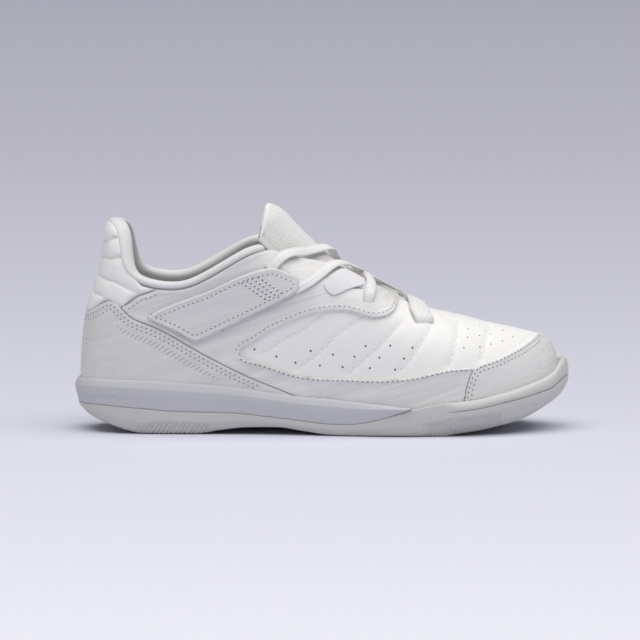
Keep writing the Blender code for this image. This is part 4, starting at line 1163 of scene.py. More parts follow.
def knit_material(name, dark, light, courses, wales, depth):
    """Knit cloth whose stitches follow the piece's own flat map."""
    material, tree, surface = new_material(name, light, 0.85)
    surface.inputs["Sheen Weight"].default_value = 0.25
    surface.inputs["Sheen Roughness"].default_value = 0.4
    loops = use_group(tree, knit, Courses=courses, Wales=wales)
    add_tone(tree, surface, loops.outputs["Height"], dark, light)
    add_bump(tree, surface, loops.outputs["Height"], depth, 0.8)
    return material


COLLAR_TONES = (0.82, 0.82, 0.825), (0.90, 0.90, 0.90)
collar_knit = knit_material("collar_knit", *COLLAR_TONES, 5200.0, 5200.0, 0.00015)
work = grid_of(roll_points, (0.30, 0.019))
face_out(work)
collar = settle(work, "collar_roll", "knit", (collar_knit,), "collar_lining")

# The tongue: padded mesh knit with a bound rim, sewn in under the end of the throat.
# x as a share of the length, height of its middle, half width, drop of its edges, thickness
TONGUE = (
    (0.683, 0.960 * THROAT_END_HEIGHT, 0.0120, 0.0050, 0.0020),
    (0.652, 1.050 * THROAT_END_HEIGHT, 0.0130, 0.0065, 0.0024),
    (0.596, 1.228 * THROAT_END_HEIGHT, 0.0150, 0.0090, 0.0030),
    (0.530, 0.933 * COLLAR_FRONT_HEIGHT, 0.0155, 0.0125, 0.0034),
    (0.494, 1.020 * COLLAR_FRONT_HEIGHT, 0.0150, 0.0135, 0.0038),
    (0.443, 1.160 * COLLAR_FRONT_HEIGHT, 0.0160, 0.0150, 0.0045),
    (0.418, 1.228 * COLLAR_FRONT_HEIGHT, 0.0168, 0.0150, 0.0045),
    (0.402, 1.252 * COLLAR_FRONT_HEIGHT, 0.0170, 0.0152, 0.0040),
    (0.387, 1.263 * COLLAR_FRONT_HEIGHT, 0.0160, 0.0150, 0.0030),
)
TONGUE_LENGTH = 110
TONGUE_AROUND = 64
TONGUE_GIRTH = 0.066
TURNS = 2 * math.pi / TONGUE_GIRTH
rows = np.array(TONGUE) * (SHOE_LENGTH, 1, 1, 1, 1)
chord = run_lengths(rows[:, :2])
tongue_rows = spline(chord, rows, np.linspace(0, chord[-1], TONGUE_LENGTH + 1))
slope = unit(np.gradient(tongue_rows[:, :2], axis=0))
down = np.stack([slope[:, 1], -slope[:, 0]], axis=1)
down *= -np.sign(down[:, 1:2])
turn = np.linspace(0, 2 * math.pi, TONGUE_AROUND + 1)[:, None]
wide = np.sign(np.cos(turn)) * np.abs(np.cos(turn)) ** 0.75
thick = np.sign(np.sin(turn)) * np.abs(np.sin(turn)) ** 0.55
reach = np.linspace(0, chord[-1], TONGUE_LENGTH + 1)
end_round = round_edge(chord[-1] - reach, 0.0025)
start_round = round_edge(reach, 0.002)
puff = np.maximum(end_round * start_round, 1e-3)
half = tongue_rows[:, 2] * (0.80 + 0.20 * end_round)
drop = tongue_rows[:, 3] * wide**2
skin = tongue_rows[:, 4] / 2 * (1 - 0.35 * wide**4) * puff
rim_bead = 0.0005 * np.exp(-(((np.abs(wide) - 0.93) / 0.05) ** 2)) * puff
seam_dip = 0.0004 * np.exp(-(((np.abs(wide) - 0.82) / 0.03) ** 2)) * puff
depth = drop + tongue_rows[:, 4] / 2 - (skin + rim_bead - seam_dip) * thick
tongue_x = tongue_rows[:, 0] + down[:, 0] * depth
tongue_y = crest_y(tongue_rows[:, 0]) + half * wide
tongue_z = tongue_rows[:, 1] + down[:, 1] * depth
tongue_points = np.stack([tongue_x, tongue_y, tongue_z], axis=-1)
tongue_points[-1] = tongue_points[0]

mesh_knit, tree, surface = new_material("tongue_mesh", (0.87, 0.87, 0.875), 0.85)
surface.inputs["Sheen Weight"].default_value = 0.25
place = add(tree, "UVMap", uv_map="cloth")
turned = add(tree, "Mapping", {"Vector": place.outputs["UV"]})
turned.inputs["Scale"].default_value = (1.0, 1.5, 1.0)
holes = add(tree, "TexVoronoi", {"Vector": turned.outputs[0]}, Scale=1050.0, Randomness=0.10)
open_share = add(tree, "MapRange", {0: holes.outputs["Distance"]}, From_Min=0.18, From_Max=0.42)
split = add(tree, "SeparateXYZ", {0: place.outputs["UV"]})
turned_by = math_node(tree, "MULTIPLY", split.outputs["Y"], TURNS)
across = math_node(tree, "ABSOLUTE", math_node(tree, "COSINE", turned_by))
bound = add(tree, "MapRange", {0: across}, From_Min=0.93, From_Max=0.95)
near_end = add(tree, "MapRange", {0: split.outputs["X"]})
near_end.inputs["From Min"].default_value = chord[-1] - 0.0020
near_end.inputs["From Max"].default_value = chord[-1] - 0.0017
smooth_rim = math_node(tree, "MAXIMUM", bound.outputs[0], near_end.outputs[0])
closed = math_node(tree, "MAXIMUM", open_share.outputs[0], smooth_rim)
add_tone(tree, surface, closed, (0.80, 0.80, 0.80), (0.96, 0.96, 0.955))
add_bump(tree, surface, closed, 0.0003, 0.8)
work = grid_of(tongue_points, (chord[-1], TONGUE_GIRTH))
face_out(work)
tongue = settle(work, "tongue_pad", "knit", (mesh_knit,), "tongue")

# The footbed: a knit-topped foam insole, cupped at the heel, lying in the shell.
INSOLE_WALL = 0.0032
INSOLE_CUP = 0.0014
INSOLE_COLUMNS = 120


def side_rings(places, height_at):
    """Points (x, y, height) of inset rings on both sides: rows of inset, columns round the shoe."""
    rings = []
    for inset, rise in places:
        ring = []
        for side, order in ((-1, slice(None)), (1, slice(None, None, -1))):
            around = np.linspace(0, 1, INSOLE_COLUMNS + 1)[order]
            xy = plan_point(around, side, inset(around))
            ring.append(np.concatenate([xy, (height_at(xy[:, 0]) + rise(around))[:, None]], axis=1))
        rings.append(np.concatenate([ring[0], ring[1][1:]]))
    return rings


def centre_rows(ring, shares):
    """Rows that run in from a ring to the line between its two sides."""
    middle = (ring + ring[::-1]) / 2
    return [ring + (middle - ring) * share for share in shares]


sole_rise = lambda x: level_line(FLOOR_LINE, x)
insole_inset = lambda a: upper_inset(a) + UPPER_WALL + 0.0004
cup = lambda a: INSOLE_WALL + INSOLE_CUP * np.maximum(0.0, 1 - a / 0.5)
low_ring, side_ring, top_ring = side_rings(
    (
        (insole_inset, lambda a: np.zeros_like(a)),
        (insole_inset, lambda a: cup(a) - 0.0006),
        (lambda a: insole_inset(a) + 0.0008, cup),
    ),
    sole_rise,
)
inner_places = (lambda a: insole_inset(a) + 0.006, lambda a: np.full_like(a, INSOLE_WALL))
inner_top = side_rings((inner_places,), sole_rise)[0]
rows_in = [low_ring, side_ring, top_ring, inner_top]
points = centre_rows(low_ring, (1.0, 0.5)) + rows_in + centre_rows(inner_top, (0.35, 0.7, 1.0))
FOOTBED_TONES = (0.78, 0.78, 0.80), (0.64, 0.64, 0.67)
footbed = looped("footbed_cloth", (0.74, 0.74, 0.76), 1400.0, 0.4, *FOOTBED_TONES, 0.7)
work = grid_of(points, (0.5, 0.06))
face_out(work)
settle(work, "footbed", "footbed", (footbed,), "insole")

# The midsole: a white foam wedge from the heel to the ball, with a light chamfer along its top edge.
MIDSOLE_HEIGHT = 0.0250
PARTING_HEIGHT = 0.0130
BUMPER_HEIGHT = 0.0335
MIDSOLE_TIP = 0.640
PARTING_WALL = 0.0020
SOLE_COLUMNS = 300
OUTSOLE_TOP = (
    (0.000, 1.00 * PARTING_HEIGHT),
    (0.050, 1.02 * PARTING_HEIGHT),
    (0.091, 0.98 * PARTING_HEIGHT),
    (0.152, 0.90 * PARTING_HEIGHT),
    (0.212, 0.82 * PARTING_HEIGHT),
    (0.313, 0.78 * PARTING_HEIGHT),
    (0.394, 0.65 * PARTING_HEIGHT),
    (0.455, 0.53 * PARTING_HEIGHT),
    (0.510, 0.43 * PARTING_HEIGHT),
    (0.546, 0.42 * PARTING_HEIGHT),
    (0.580, 0.48 * PARTING_HEIGHT),
    (0.616, 0.63 * PARTING_HEIGHT),
    (0.657, 0.86 * PARTING_HEIGHT),
    (0.674, 0.96 * PARTING_HEIGHT),
    (0.700, 0.41 * BUMPER_HEIGHT),
    (0.736, 0.46 * BUMPER_HEIGHT),
    (0.800, 0.50 * BUMPER_HEIGHT),
    (0.840, 0.55 * BUMPER_HEIGHT),
    (0.880, 0.61 * BUMPER_HEIGHT),
    (0.920, 0.69 * BUMPER_HEIGHT),
    (0.960, 0.79 * BUMPER_HEIGHT),
    (0.986, 0.98 * BUMPER_HEIGHT),
    (1.000, 1.03 * BUMPER_HEIGHT),
)
MIDSOLE_TOP = (
    (0.000, 0.970 * MIDSOLE_HEIGHT),
    (0.050, 1.010 * MIDSOLE_HEIGHT),
    (0.150, 1.000 * MIDSOLE_HEIGHT),
    (0.250, 0.940 * MIDSOLE_HEIGHT),
    (0.313, 0.895 * MIDSOLE_HEIGHT),
    (0.394, 0.790 * MIDSOLE_HEIGHT),
    (0.455, 0.725 * MIDSOLE_HEIGHT),
    (0.520, 0.680 * MIDSOLE_HEIGHT),
    (0.580, 0.625 * MIDSOLE_HEIGHT),
    (0.640, 0.570 * MIDSOLE_HEIGHT),
    (0.674, 0.535 * MIDSOLE_HEIGHT),
    (1.000, 0.535 * MIDSOLE_HEIGHT),
)
# height share from the parting line up, inset
MIDSOLE_SIDE = (
    (0.00, 0.0019),
    (0.05, 0.0015),
    (0.50, 0.0003),
    (0.70, 0.0000),
    (0.745, 0.0001),
    (0.95, 0.0010),
    (1.00, 0.0019),
)


def ring_points(around, side, inset, height):
    """Points of one level round the sole, with the height worked out from the place along the shoe."""
    xy = plan_point(around, side, inset)
    return np.concatenate([xy, height(xy[:, 0])[:, None]], axis=1)


def round_shoe(dense=(), ends=(0.0, 1.0)):
    """Places round the shoe from one side to the other, closer together in the dense stretches."""
    places = [np.linspace(ends[0], ends[1], SOLE_COLUMNS // 2 + 1)]
    for low, high, step in dense:
        places.append(np.arange(low, high, step))
    return np.unique(np.round(np.concatenate(places), 5))


def fill_across(ring, count, height):
    """Rows from a ring in to the line between its sides, at a height of their own."""
    shares = np.linspace(0, 1, count + 1)[1:]
    rows = centre_rows(ring, shares)
    for share, row in zip(shares, rows):
        start = ring[:, 2] - height(ring[:, 0])
        middle = (start + start[::-1]) / 2
        row[:, 2] = height(row[:, 0]) + start + (middle - start) * share
    return rows


parting = lambda x: level_line(OUTSOLE_TOP, x)
midsole_top = lambda x: np.maximum(level_line(MIDSOLE_TOP, x), parting(x) + 0.0001)
half = round_shoe(ends=(0.0, MIDSOLE_TIP))
mid_a = np.concatenate([half[::-1], half[1:]])
mid_side = np.concatenate([-np.ones(len(half)), np.ones(len(half) - 1)])
shares, insets = np.array(MIDSOLE_SIDE).T
extra = (0.02, 0.05, 0.97, 0.985)
levels = np.unique(np.concatenate([np.linspace(0, 1, 15), np.linspace(0.66, 0.80, 6), extra]))
rows = [ring_points(mid_a, mid_side, PARTING_WALL + 0.004, parting)]
for level in levels:
    xy = plan_point(mid_a, mid_side, float(np.interp(level, shares, insets)))
    low = parting(xy[:, 0]) + 0.0001
    rows.append(np.concatenate([xy, (low + (midsole_top(xy[:, 0]) - low) * level)[:, None]], axis=1))
cup_wall = upper_inset(mid_a) - SEAM_GAP - PANEL_WALL - 0.0002
rows.append(ring_points(mid_a, mid_side, cup_wall - 0.0004, midsole_top))
rows.append(ring_points(mid_a, mid_side, cup_wall, lambda x: midsole_top(x) - 0.0008))
bed_height = lambda x: np.minimum(level_line(FLOOR_LINE, x), midsole_top(x)) - SEAM_GAP
bed = ring_points(mid_a, mid_side, cup_wall, bed_height)
rows.append(bed)
rows = centre_rows(rows[0], (1.0, 0.5)) + rows + centre_rows(bed, (0.5, 1.0))

FOAM_TONES = (0.58, 0.58, 0.625), (0.63, 0.63, 0.67)
foam = grained("midsole_foam", (0.76, 0.76, 0.83), 0.62, (900.0, 22.0), *FOAM_TONES, (0.0001, 0.4))
work = grid_of(rows, (0.5, 0.06))
open_edges = [edge for edge in work.edges if edge.is_boundary]
bmesh.ops.holes_fill(work, edges=open_edges, sides=0)
face_out(work)
settle(work, "midsole_wedge", "midsole_foam", (foam,), "midsole")

# The outsole: off-white rubber, a bead and bumper round the toe, ribs low on its sides.
HEEL_BEVEL = 0.0106
ARCH_RISE = 0.0034
TOE_SPRING = 0.0170
BOTTOM_LINE = (
    (0.000, 1.12 * HEEL_BEVEL),
    (0.012, 1.00 * HEEL_BEVEL),
    (0.036, 0.69 * HEEL_BEVEL),
    (0.071, 0.40 * HEEL_BEVEL),
    (0.111, 0.13 * HEEL_BEVEL),
    (0.143, 0.00 * HEEL_BEVEL),
    (0.246, 0.00 * ARCH_RISE),
    (0.293, 0.50 * ARCH_RISE),
    (0.350, 0.93 * ARCH_RISE),
    (0.410, 1.00 * ARCH_RISE),
    (0.460, 0.55 * ARCH_RISE),
    (0.530, 0.00 * ARCH_RISE),
    (0.735, 0.00 * TOE_SPRING),
    (0.770, 0.06 * TOE_SPRING),
    (0.819, 0.15 * TOE_SPRING),
    (0.860, 0.26 * TOE_SPRING),
    (0.900, 0.39 * TOE_SPRING),
    (0.941, 0.62 * TOE_SPRING),
    (0.976, 0.88 * TOE_SPRING),
    (1.000, 1.15 * TOE_SPRING),
)
# height share, inset over the midsole, inset round the toe
OUTSOLE_SIDE = (
    (0.00, 0.0052, 0.0060),
    (0.06, 0.0036, 0.0038),
    (0.14, 0.0028, 0.0022),
    (0.42, 0.0019, 0.0002),
    (0.585, 0.0017, 0.0000),
    (0.60, 0.0017, 0.0003),
    (0.62, 0.0017, 0.0012),
    (0.64, 0.0017, 0.0003),
    (0.70, 0.0017, 0.0000),
    (0.80, 0.0017, 0.0002),
    (0.92, 0.0017, 0.0010),
    (0.98, 0.0019, 0.0022),
    (1.00, 0.0024, 0.0034),
)
# x as a share of the length, height share of the groove under the bead
GROOVE_LINE = (
    (0.66, 0.62),
    (0.72, 0.70),
    (0.80, 0.72),
    (0.86, 0.715),
    (0.90, 0.68),
    (0.94, 0.61),
    (0.97, 0.51),
    (1.00, 0.40),
)
GROOVE_SHARE = 0.62
BEAD_START = 0.695
BEAD_FULL = 0.725
# first and last place along the side, way of the slant, height of the ribs
RIB_GROUPS = ((0.028, 0.065, 1.0, 0.0066), (0.160, 0.200, -1.0, 0.0090))
RIB_PITCH = 0.0021
RIB_DEPTH = 0.0008

half = round_shoe(((0.12, 0.29, 0.0014), (0.66, 0.83, 0.0014), (0.88, 1.0, 0.003)))
out_a = np.concatenate([half, half[-2::-1]])
out_side = np.concatenate([-np.ones(len(half)), np.ones(len(half) - 1)])
blend = ease(BEAD_START, BEAD_FULL, out_a)
shares, heel_in, toe_in = np.array(OUTSOLE_SIDE).T
underside = lambda x: level_line(BOTTOM_LINE, x)
rows = []
extra = (0.01, 0.03, 0.06, 0.585, 0.60, 0.62, 0.64, 0.66, 0.98, 0.99)
levels = np.unique(np.concatenate([np.linspace(0, 1, 27), extra]))
for level in levels:
    inset = np.interp(level, shares, heel_in) * (1 - blend) + np.interp(level, shares, toe_in) * blend
    xy = plan_point(out_a, out_side, inset)
    low = underside(xy[:, 0])
    bend = np.log(level_line(GROOVE_LINE, xy[:, 0])) / math.log(GROOVE_SHARE)
    z = low + (parting(xy[:, 0]) - low) * level**bend
    groove = np.zeros_like(z)
    for first, last, slant, rib_top in RIB_GROUPS:
        along = xy[:, 0] - slant * 0.62 * z
        wave = 0.5 - 0.5 * np.cos(2 * math.pi * along / RIB_PITCH)
        middle = (xy[:, 0] - (first + last) / 2) / ((last - first) / 2)
        reach = 1 - ease(0.80, 1.05, np.abs(middle))
        top = low + rib_top * np.sqrt(np.clip(1 - 0.55 * middle**2, 0.05, 1))
        groove += wave * reach * (1 - ease(top - 0.0016, top, z))
    xy = plan_point(out_a, out_side, inset + RIB_DEPTH * groove)
    rows.append(np.concatenate([xy, z[:, None]], axis=1))
over_midsole = out_a <= MIDSOLE_TIP
cup_wall = upper_inset(out_a) - SEAM_GAP - PANEL_WALL - 0.0004
inner = np.where(over_midsole, PARTING_WALL + 0.002, cup_wall)
edge_top = ring_points(out_a, out_side, inner, parting)
rows.append(edge_top)
bed_z = level_line(FLOOR_LINE, edge_top[:, 0])
bed_z = np.where(over_midsole, np.minimum(parting(edge_top[:, 0]), bed_z) - 0.0004, bed_z - SEAM_GAP)
bed = np.concatenate([edge_top[:, :2], np.minimum(bed_z, edge_top[:, 2])[:, None]], axis=1)
rows.append(bed)
under_rows = fill_across(rows[0], 36, underside)
# two round grooves under the ball: radius, share of the full depth
PIVOT_RINGS = ((0.0127, 1.0), (0.0190, 0.6))
PIVOT_HALF_WIDTH = 0.0008
PIVOT_DEPTH = 0.0011
middle_x = 0.700 * SHOE_LENGTH
for row in under_rows:
    away = np.hypot(row[:, 0] - middle_x, row[:, 1] - crest_y(middle_x))
    dips = [share * np.exp(-(((away - radius) / PIVOT_HALF_WIDTH) ** 2)) for radius, share in PIVOT_RINGS]
    row[:, 2] += PIVOT_DEPTH * sum(dips)
rows = under_rows[::-1] + rows + centre_rows(bed, (0.5, 1.0))

RUBBER_TONES = (0.60, 0.595, 0.59), (0.66, 0.655, 0.64)
rubber = grained("outsole_rubber", (0.66, 0.655, 0.65), 0.5, (1500.0, 18.0), *RUBBER_TONES, (0.00008, 0.4))
work = grid_of(rows, (0.5, 0.1))
face_out(work)
settle(work, "outsole_cup", "outsole_rubber", (rubber,), "outsole")

# The laces: flat woven bands with lengthwise ribs, through the strap, the loop and slots in the eyestay.
# name, width, places on the outer side, points over the tongue, places on the inner side
LACE_WALL = 0.0011
LACE_WIDTH = 0.0050
FRONT_BAR_WIDTH = 0.0105
LACES = (
    (
        "lace_top",
        LACE_WIDTH,
        ((0.436, 0.872, 0.0018), (0.452, 0.893, 0.0028), (0.470, 0.925, 0.0034), (0.498, 0.968, 0.0038)),
        ((0.462, -0.014, 1.000 * COLLAR_FRONT_HEIGHT), (0.513, 0.000, 1.013 * COLLAR_FRONT_HEIGHT)),
        ((0.590, 0.940, 0.0032), (0.605, 0.820, 0.0028), (0.609, 0.775, 0.0002)),
    ),
    (
        "lace_second",
        LACE_WIDTH,
        ((0.460, 0.720, 0.0020), (0.492, 0.765, 0.0026), (0.530, 0.840, 0.0028), (0.572, 0.930, 0.0034)),
        ((0.559, 0.000, 0.912 * COLLAR_FRONT_HEIGHT),),
        ((0.625, 0.930, 0.0034), (0.632, 0.820, 0.0028), (0.634, 0.775, 0.0002)),
    ),
    (
        "lace_third",
        LACE_WIDTH,
        ((0.597, 0.690, 0.0004), (0.601, 0.730, 0.0026), (0.625, 0.880, 0.0032)),
        ((0.594, 0.000, 1.290 * THROAT_END_HEIGHT),),
        ((0.665, 0.890, 0.0032), (0.672, 0.780, 0.0028), (0.674, 0.735, 0.0002)),
    ),
    (
        "lace_front",
        FRONT_BAR_WIDTH,
        ((0.698, 0.690, -0.0004), (0.698, 0.715, 0.0013), (0.700, 0.780, 0.0017), (0.712, 0.880, 0.0018)),
        ((0.690, 0.001, 1.082 * THROAT_END_HEIGHT),),
        ((0.712, 0.880, 0.0018), (0.700, 0.780, 0.0017), (0.698, 0.715, 0.0013), (0.698, 0.690, -0.0004)),
    ),
)
LACE_SIDES = 28
LACE_STEPS = 80
lace_cloth, tree, surface = new_material("lace_weave", (0.84, 0.84, 0.86), 0.8)
surface.inputs["Sheen Weight"].default_value = 0.3
place = add(tree, "UVMap", uv_map="cloth")
split = add(tree, "SeparateXYZ", {0: place.outputs["UV"]})
ribs = math_node(tree, "SINE", math_node(tree, "MULTIPLY", split.outputs["Y"], 7800.0))
picks = math_node(tree, "SINE", math_node(tree, "MULTIPLY", split.outputs["X"], 9000.0))
lengthwise = math_node(tree, "MULTIPLY", ribs, 0.7)
woven = math_node(tree, "ADD", lengthwise, math_node(tree, "MULTIPLY", picks, 0.3))
woven = math_node(tree, "MULTIPLY", math_node(tree, "ADD", woven, 1.0), 0.5)
add_tone(tree, surface, woven, (0.88, 0.88, 0.885), (0.96, 0.96, 0.96))
add_bump(tree, surface, woven, 0.00025, 0.8)

for name, width, lateral, middle, medial in LACES:
    points, normals = [], []
    for side, rows in ((-1, lateral), (0, middle), (1, medial)):
        for row in rows:
            if side == 0:
                points.append(np.array([row[0] * SHOE_LENGTH, row[1], row[2]]))
                normals.append(np.array([0.40, row[1] / 0.010, 0.75]))
                continue
            points.append(lifted_point(row[0], row[1], side, row[2]))
            normals.append(last_normal(np.float64(row[0]), np.float64(row[1]), side))
    points = np.array(points)
    normals = unit(np.array(normals))
    knots = run_lengths(points)
    steps = np.linspace(0, knots[-1], LACE_STEPS + 1)
    path = spline(knots, points, steps)
    ahead = np.gradient(path, axis=0)
    wide = unit(np.cross(ahead, read_line(normals, knots, steps)))
    thick = unit(np.cross(wide, ahead))
    turn = np.linspace(0, 2 * math.pi, LACE_SIDES + 1)[:, None, None]
    flat_cos = np.sign(np.cos(turn)) * np.abs(np.cos(turn)) ** 0.6
    flat_sin = np.sign(np.sin(turn)) * np.abs(np.sin(turn)) ** 0.6
    body = 1 - 0.25 * np.abs(flat_cos) ** 3
    rib = 1 + 0.10 * np.cos(flat_cos * math.pi * 4)
    end = np.minimum(np.minimum(steps, steps[::-1]) / 0.0006, 1)
    end = np.maximum(np.sqrt(1 - (1 - end) ** 2), 1e-3)[:, None]
    sideways = wide * flat_cos * width / 2 * (0.8 + 0.2 * end)
    band = path + sideways + thick * flat_sin * body * rib * (LACE_WALL / 2) * end
    band[-1] = band[0]
    work = grid_of(band, (knots[-1], 2 * width))
    bmesh.ops.holes_fill(work, edges=[edge for edge in work.edges if edge.is_boundary], sides=0)
    face_out(work)
    settle(work, name + "_band", "lace", (lace_cloth,), name)

# The webbing loop: lilac twill tape folded over the second lace and sewn into a slot of the eyestay.
WEBBING_OUTLINE = (
    (0.499, 0.858),
    (0.510, 0.902),
    (0.524, 0.950),
    (0.536, 0.985),
    (0.556, 0.990),
    (0.576, 0.985),
    (0.580, 0.950),
    (0.556, 0.897),
    (0.536, 0.838),
    (0.519, 0.803),
)
webbing_cloth, tree, surface = new_material("webbing_twill", (0.74, 0.73, 0.80), 0.8)
surface.inputs["Sheen Weight"].default_value = 0.2
place = add(tree, "TexCoord")
turned = add(tree, "Mapping", {"Vector": place.outputs["Object"]})
turned.inputs["Rotation"].default_value = (0.0, math.radians(62.0), 0.0)
twill = add(tree, "TexWave", {"Vector": turned.outputs[0]}, Scale=420.0, Distortion=0.4)
add_tone(tree, surface, twill.outputs["Fac"], (0.74, 0.73, 0.78), (0.92, 0.91, 0.95))
add_bump(tree, surface, twill.outputs["Fac"], 0.0002, 0.7)
tape_line = cut_out(WEBBING_OUTLINE)
work = lay_panel({-1: line_places(tape_line, -1)}, flat_lift(overlay_top + 0.0010), 0.002, 0.01)
webbing = settle(work, "webbing_tape", "webbing", (webbing_cloth,), "webbing_loop")
add_wall(webbing, 0.0010, 0.00025)

# The stitches: thread sewn through the panels in rows, each row's stitches and needle holes joined in one
# piece; with them the air holes, the printed ticks on the counter and the raised dashes on the midsole.
STITCH_PITCH = 0.0023
STITCH_LENGTH = 0.0014
THREAD_RADIUS = 0.00022
NEEDLE_HOLE = (0.00062, 0.00026, 0.00012)
BEAD_SIDES = 6
BEAD_RINGS = 4


def bead_points():
    """Corners of a round bead of radius one, in the order in which the mesh makes them."""
    work = bmesh.new()
    bmesh.ops.create_uvsphere(work, u_segments=BEAD_SIDES, v_segments=BEAD_RINGS, radius=1.0)
    points = np.array([vertex.co for vertex in work.verts])
    bead = bpy.data.meshes.new("bead")
    work.to_mesh(bead)
    work.free()
    return points, bead


unit_points, bead = bead_points()


def join_beads(frames):
    """One mesh of stretched beads; a frame is a bead's middle and its three half axes."""
    work = bmesh.new()
    for _ in frames:
        work.from_mesh(bead)
    spots = np.array([frame[0] for frame in frames])
    axes = np.array([frame[1:] for frame in frames])
    corners = (spots[:, None] + np.einsum("ka,nab->nkb", unit_points, axes)).reshape(-1, 3)
    for vertex, corner in zip(work.verts, corners):
        vertex.co = corner
    return work


def row_frames(places, side, lift, pitch, start=0.5, slant=0.0):
    """Spots at a pitch along a run of places on the last, with the ways along, across and out of it."""
    around, up = np.asarray(places, float).T
    sides = np.full(len(around), float(side))
    path = lifted_point(around, up, sides, lift)
    out = last_normal(around, up, sides)
    knots = run_lengths(path)
    at = np.arange(pitch * start, knots[-1] - pitch * 0.3, pitch)
    spots, normals = read_line(path, knots, at), read_line(out, knots, at)
    after, before = np.minimum(at + 0.0003, knots[-1]), np.maximum(at - 0.0003, 0)
    along = unit(read_line(path, knots, after) - read_line(path, knots, before))
    across = np.cross(normals, along)
    along = along * math.cos(slant) + across * math.sin(slant)
    across = np.cross(normals, along)
    return zip(spots, along, across, normals)


def inside_of(line, distance):
    """Side-view line moved sideways by a distance, to the left of its run."""
    ahead = unit(np.gradient(line, axis=0))
    return line + np.stack([-ahead[:, 1], ahead[:, 0]], axis=1) * distance


def beads_on(row, half_length, half_width, half_height):
    """Frames of beads of one size on the spots of a row."""
    beads = []
    for spot, along, across, out in row:
        beads.append((spot, along * half_length, across * half_width, out * half_height))
    return beads


def seam_rows(line, distance, height, puff, sides=(-1, 1)):
    """Threads and needle holes of one stitch row beside a side-view line, on each side of the last; the
    holes are dark beads of painted shade.
    """
    moved = inside_of(line, distance)
    lift = puffed(height, puff, abs(distance))
    threads, holes = [], []
    for side in sides:
        places = line_places(moved, side)
        places = places[(places[:, 1] > 0.02) & (places[:, 1] < 0.985) & (places[:, 0] > 0.012)]
        thread_row = row_frames(places, side, lift, STITCH_PITCH)
        hole_row = row_frames(places, side, lift, STITCH_PITCH, 1.0)
        threads += beads_on(thread_row, STITCH_LENGTH / 2, THREAD_RADIUS, THREAD_RADIUS)
        holes += beads_on(hole_row, *NEEDLE_HOLE)
    return threads, holes


THREAD_TONES = (0.84, 0.84, 0.84), (0.93, 0.93, 0.93)
THREAD_BUMP = (0.00008, 0.6)
thread_cloth = speckled("sewing_thread", (0.90, 0.90, 0.90), 0.7, 2600.0, *THREAD_TONES, bump=THREAD_BUMP)
# dark beads at the needle holes and the slots: painted shade inside them
HOLE_SHADE_TONES = (0.16, 0.16, 0.18), (0.30, 0.30, 0.32)
hole_shade = speckled("needle_hole_shade", (0.22, 0.22, 0.24), 0.9, 900.0, *HOLE_SHADE_TONES)

strap_face = overlay_top + STRAP_FLOAT + STRAP_WALL + STRAP_PUFF - STRAP_SINK
strap_round = np.concatenate([strap_line, strap_line[:2]])
counter_sewn = counter_line[counter_line[:, 0] < 0.38 * SHOE_LENGTH]
seams = {
    "counter": [
        seam_rows(counter_sewn, -0.0016, on_counter, COUNTER_PUFF),
        seam_rows(counter_sewn, -0.0034, on_counter, COUNTER_PUFF),
    ],
    "quarter": [
        seam_rows(rear_line, -0.0018, overlay_top, QUARTER_PUFF),
        seam_rows(window_top, -0.0016, overlay_top, QUARTER_PUFF),
        seam_rows(window_bottom, -0.0009, overlay_top, QUARTER_PUFF),
    ],
    "toe_cap": [
        seam_rows(cap_line, -0.0009, on_cap, CAP_PUFF),
        seam_rows(cap_line, -0.0027, on_cap, CAP_PUFF),
    ],
    "strap": [seam_rows(strap_round, -0.0027, strap_face, 0.0, (-1,))],
}
# the bar of close stitches that holds the strap's end, as first and last place in millimetres seen
STRAP_BAR = (
    ((76.8, 68.4), (90.3, 59.1)),
    ((79.1, 69.3), (93.1, 59.6)),
    ((81.4, 70.3), (95.9, 60.0)),
    ((84.2, 70.7), (98.6, 61.0)),
)
BAR_PITCH = 0.0021
BAR_SLANT = math.radians(16)
BAR_STITCH = (0.0008, 0.0003, 0.00035)
BAR_HOLE = (NEEDLE_HOLE[0], 0.0004, NEEDLE_HOLE[2])
for first, last in STRAP_BAR:
    share = np.linspace(0, 1, 24)[:, None]
    around, up = find_seen(np.array(first) * (1 - share) + np.array(last) * share, -1)
    places = np.stack([around, up], axis=1)
    threads = beads_on(row_frames(places, -1, strap_face, BAR_PITCH, 0.5, BAR_SLANT), *BAR_STITCH)
    holes = beads_on(row_frames(places, -1, strap_face, BAR_PITCH, 1.0), *BAR_HOLE)
    seams["strap"].append((threads, holes))
for name, rows in seams.items():
    threads = join_beads([frame for row in rows for frame in row[0]])
    settle(threads, name + "_stitches", "overlay_synthetic", (thread_cloth,))
    holes = join_beads([frame for row in rows for frame in row[1]])
    settle(holes, name + "_needle_holes", "overlay_synthetic", (hole_shade,))

# the vamp's zigzag rows, sewn along the troughs of the quilting
ZIGZAG_PITCH = 0.0021
ZIGZAG_LENGTH = 0.0017
ZIGZAG_STEP = 0.00035
ZIGZAG_RADIUS = THREAD_RADIUS * 0.8
ZIGZAG_SLANT = math.radians(14)


def vamp_lift(around, up, side):
    """Height of the quilted vamp at places on one side of the last."""
    sides = np.full(len(around), float(side))
    return vamp_relief(around, up, sides, point_on_last(around, up, sides))


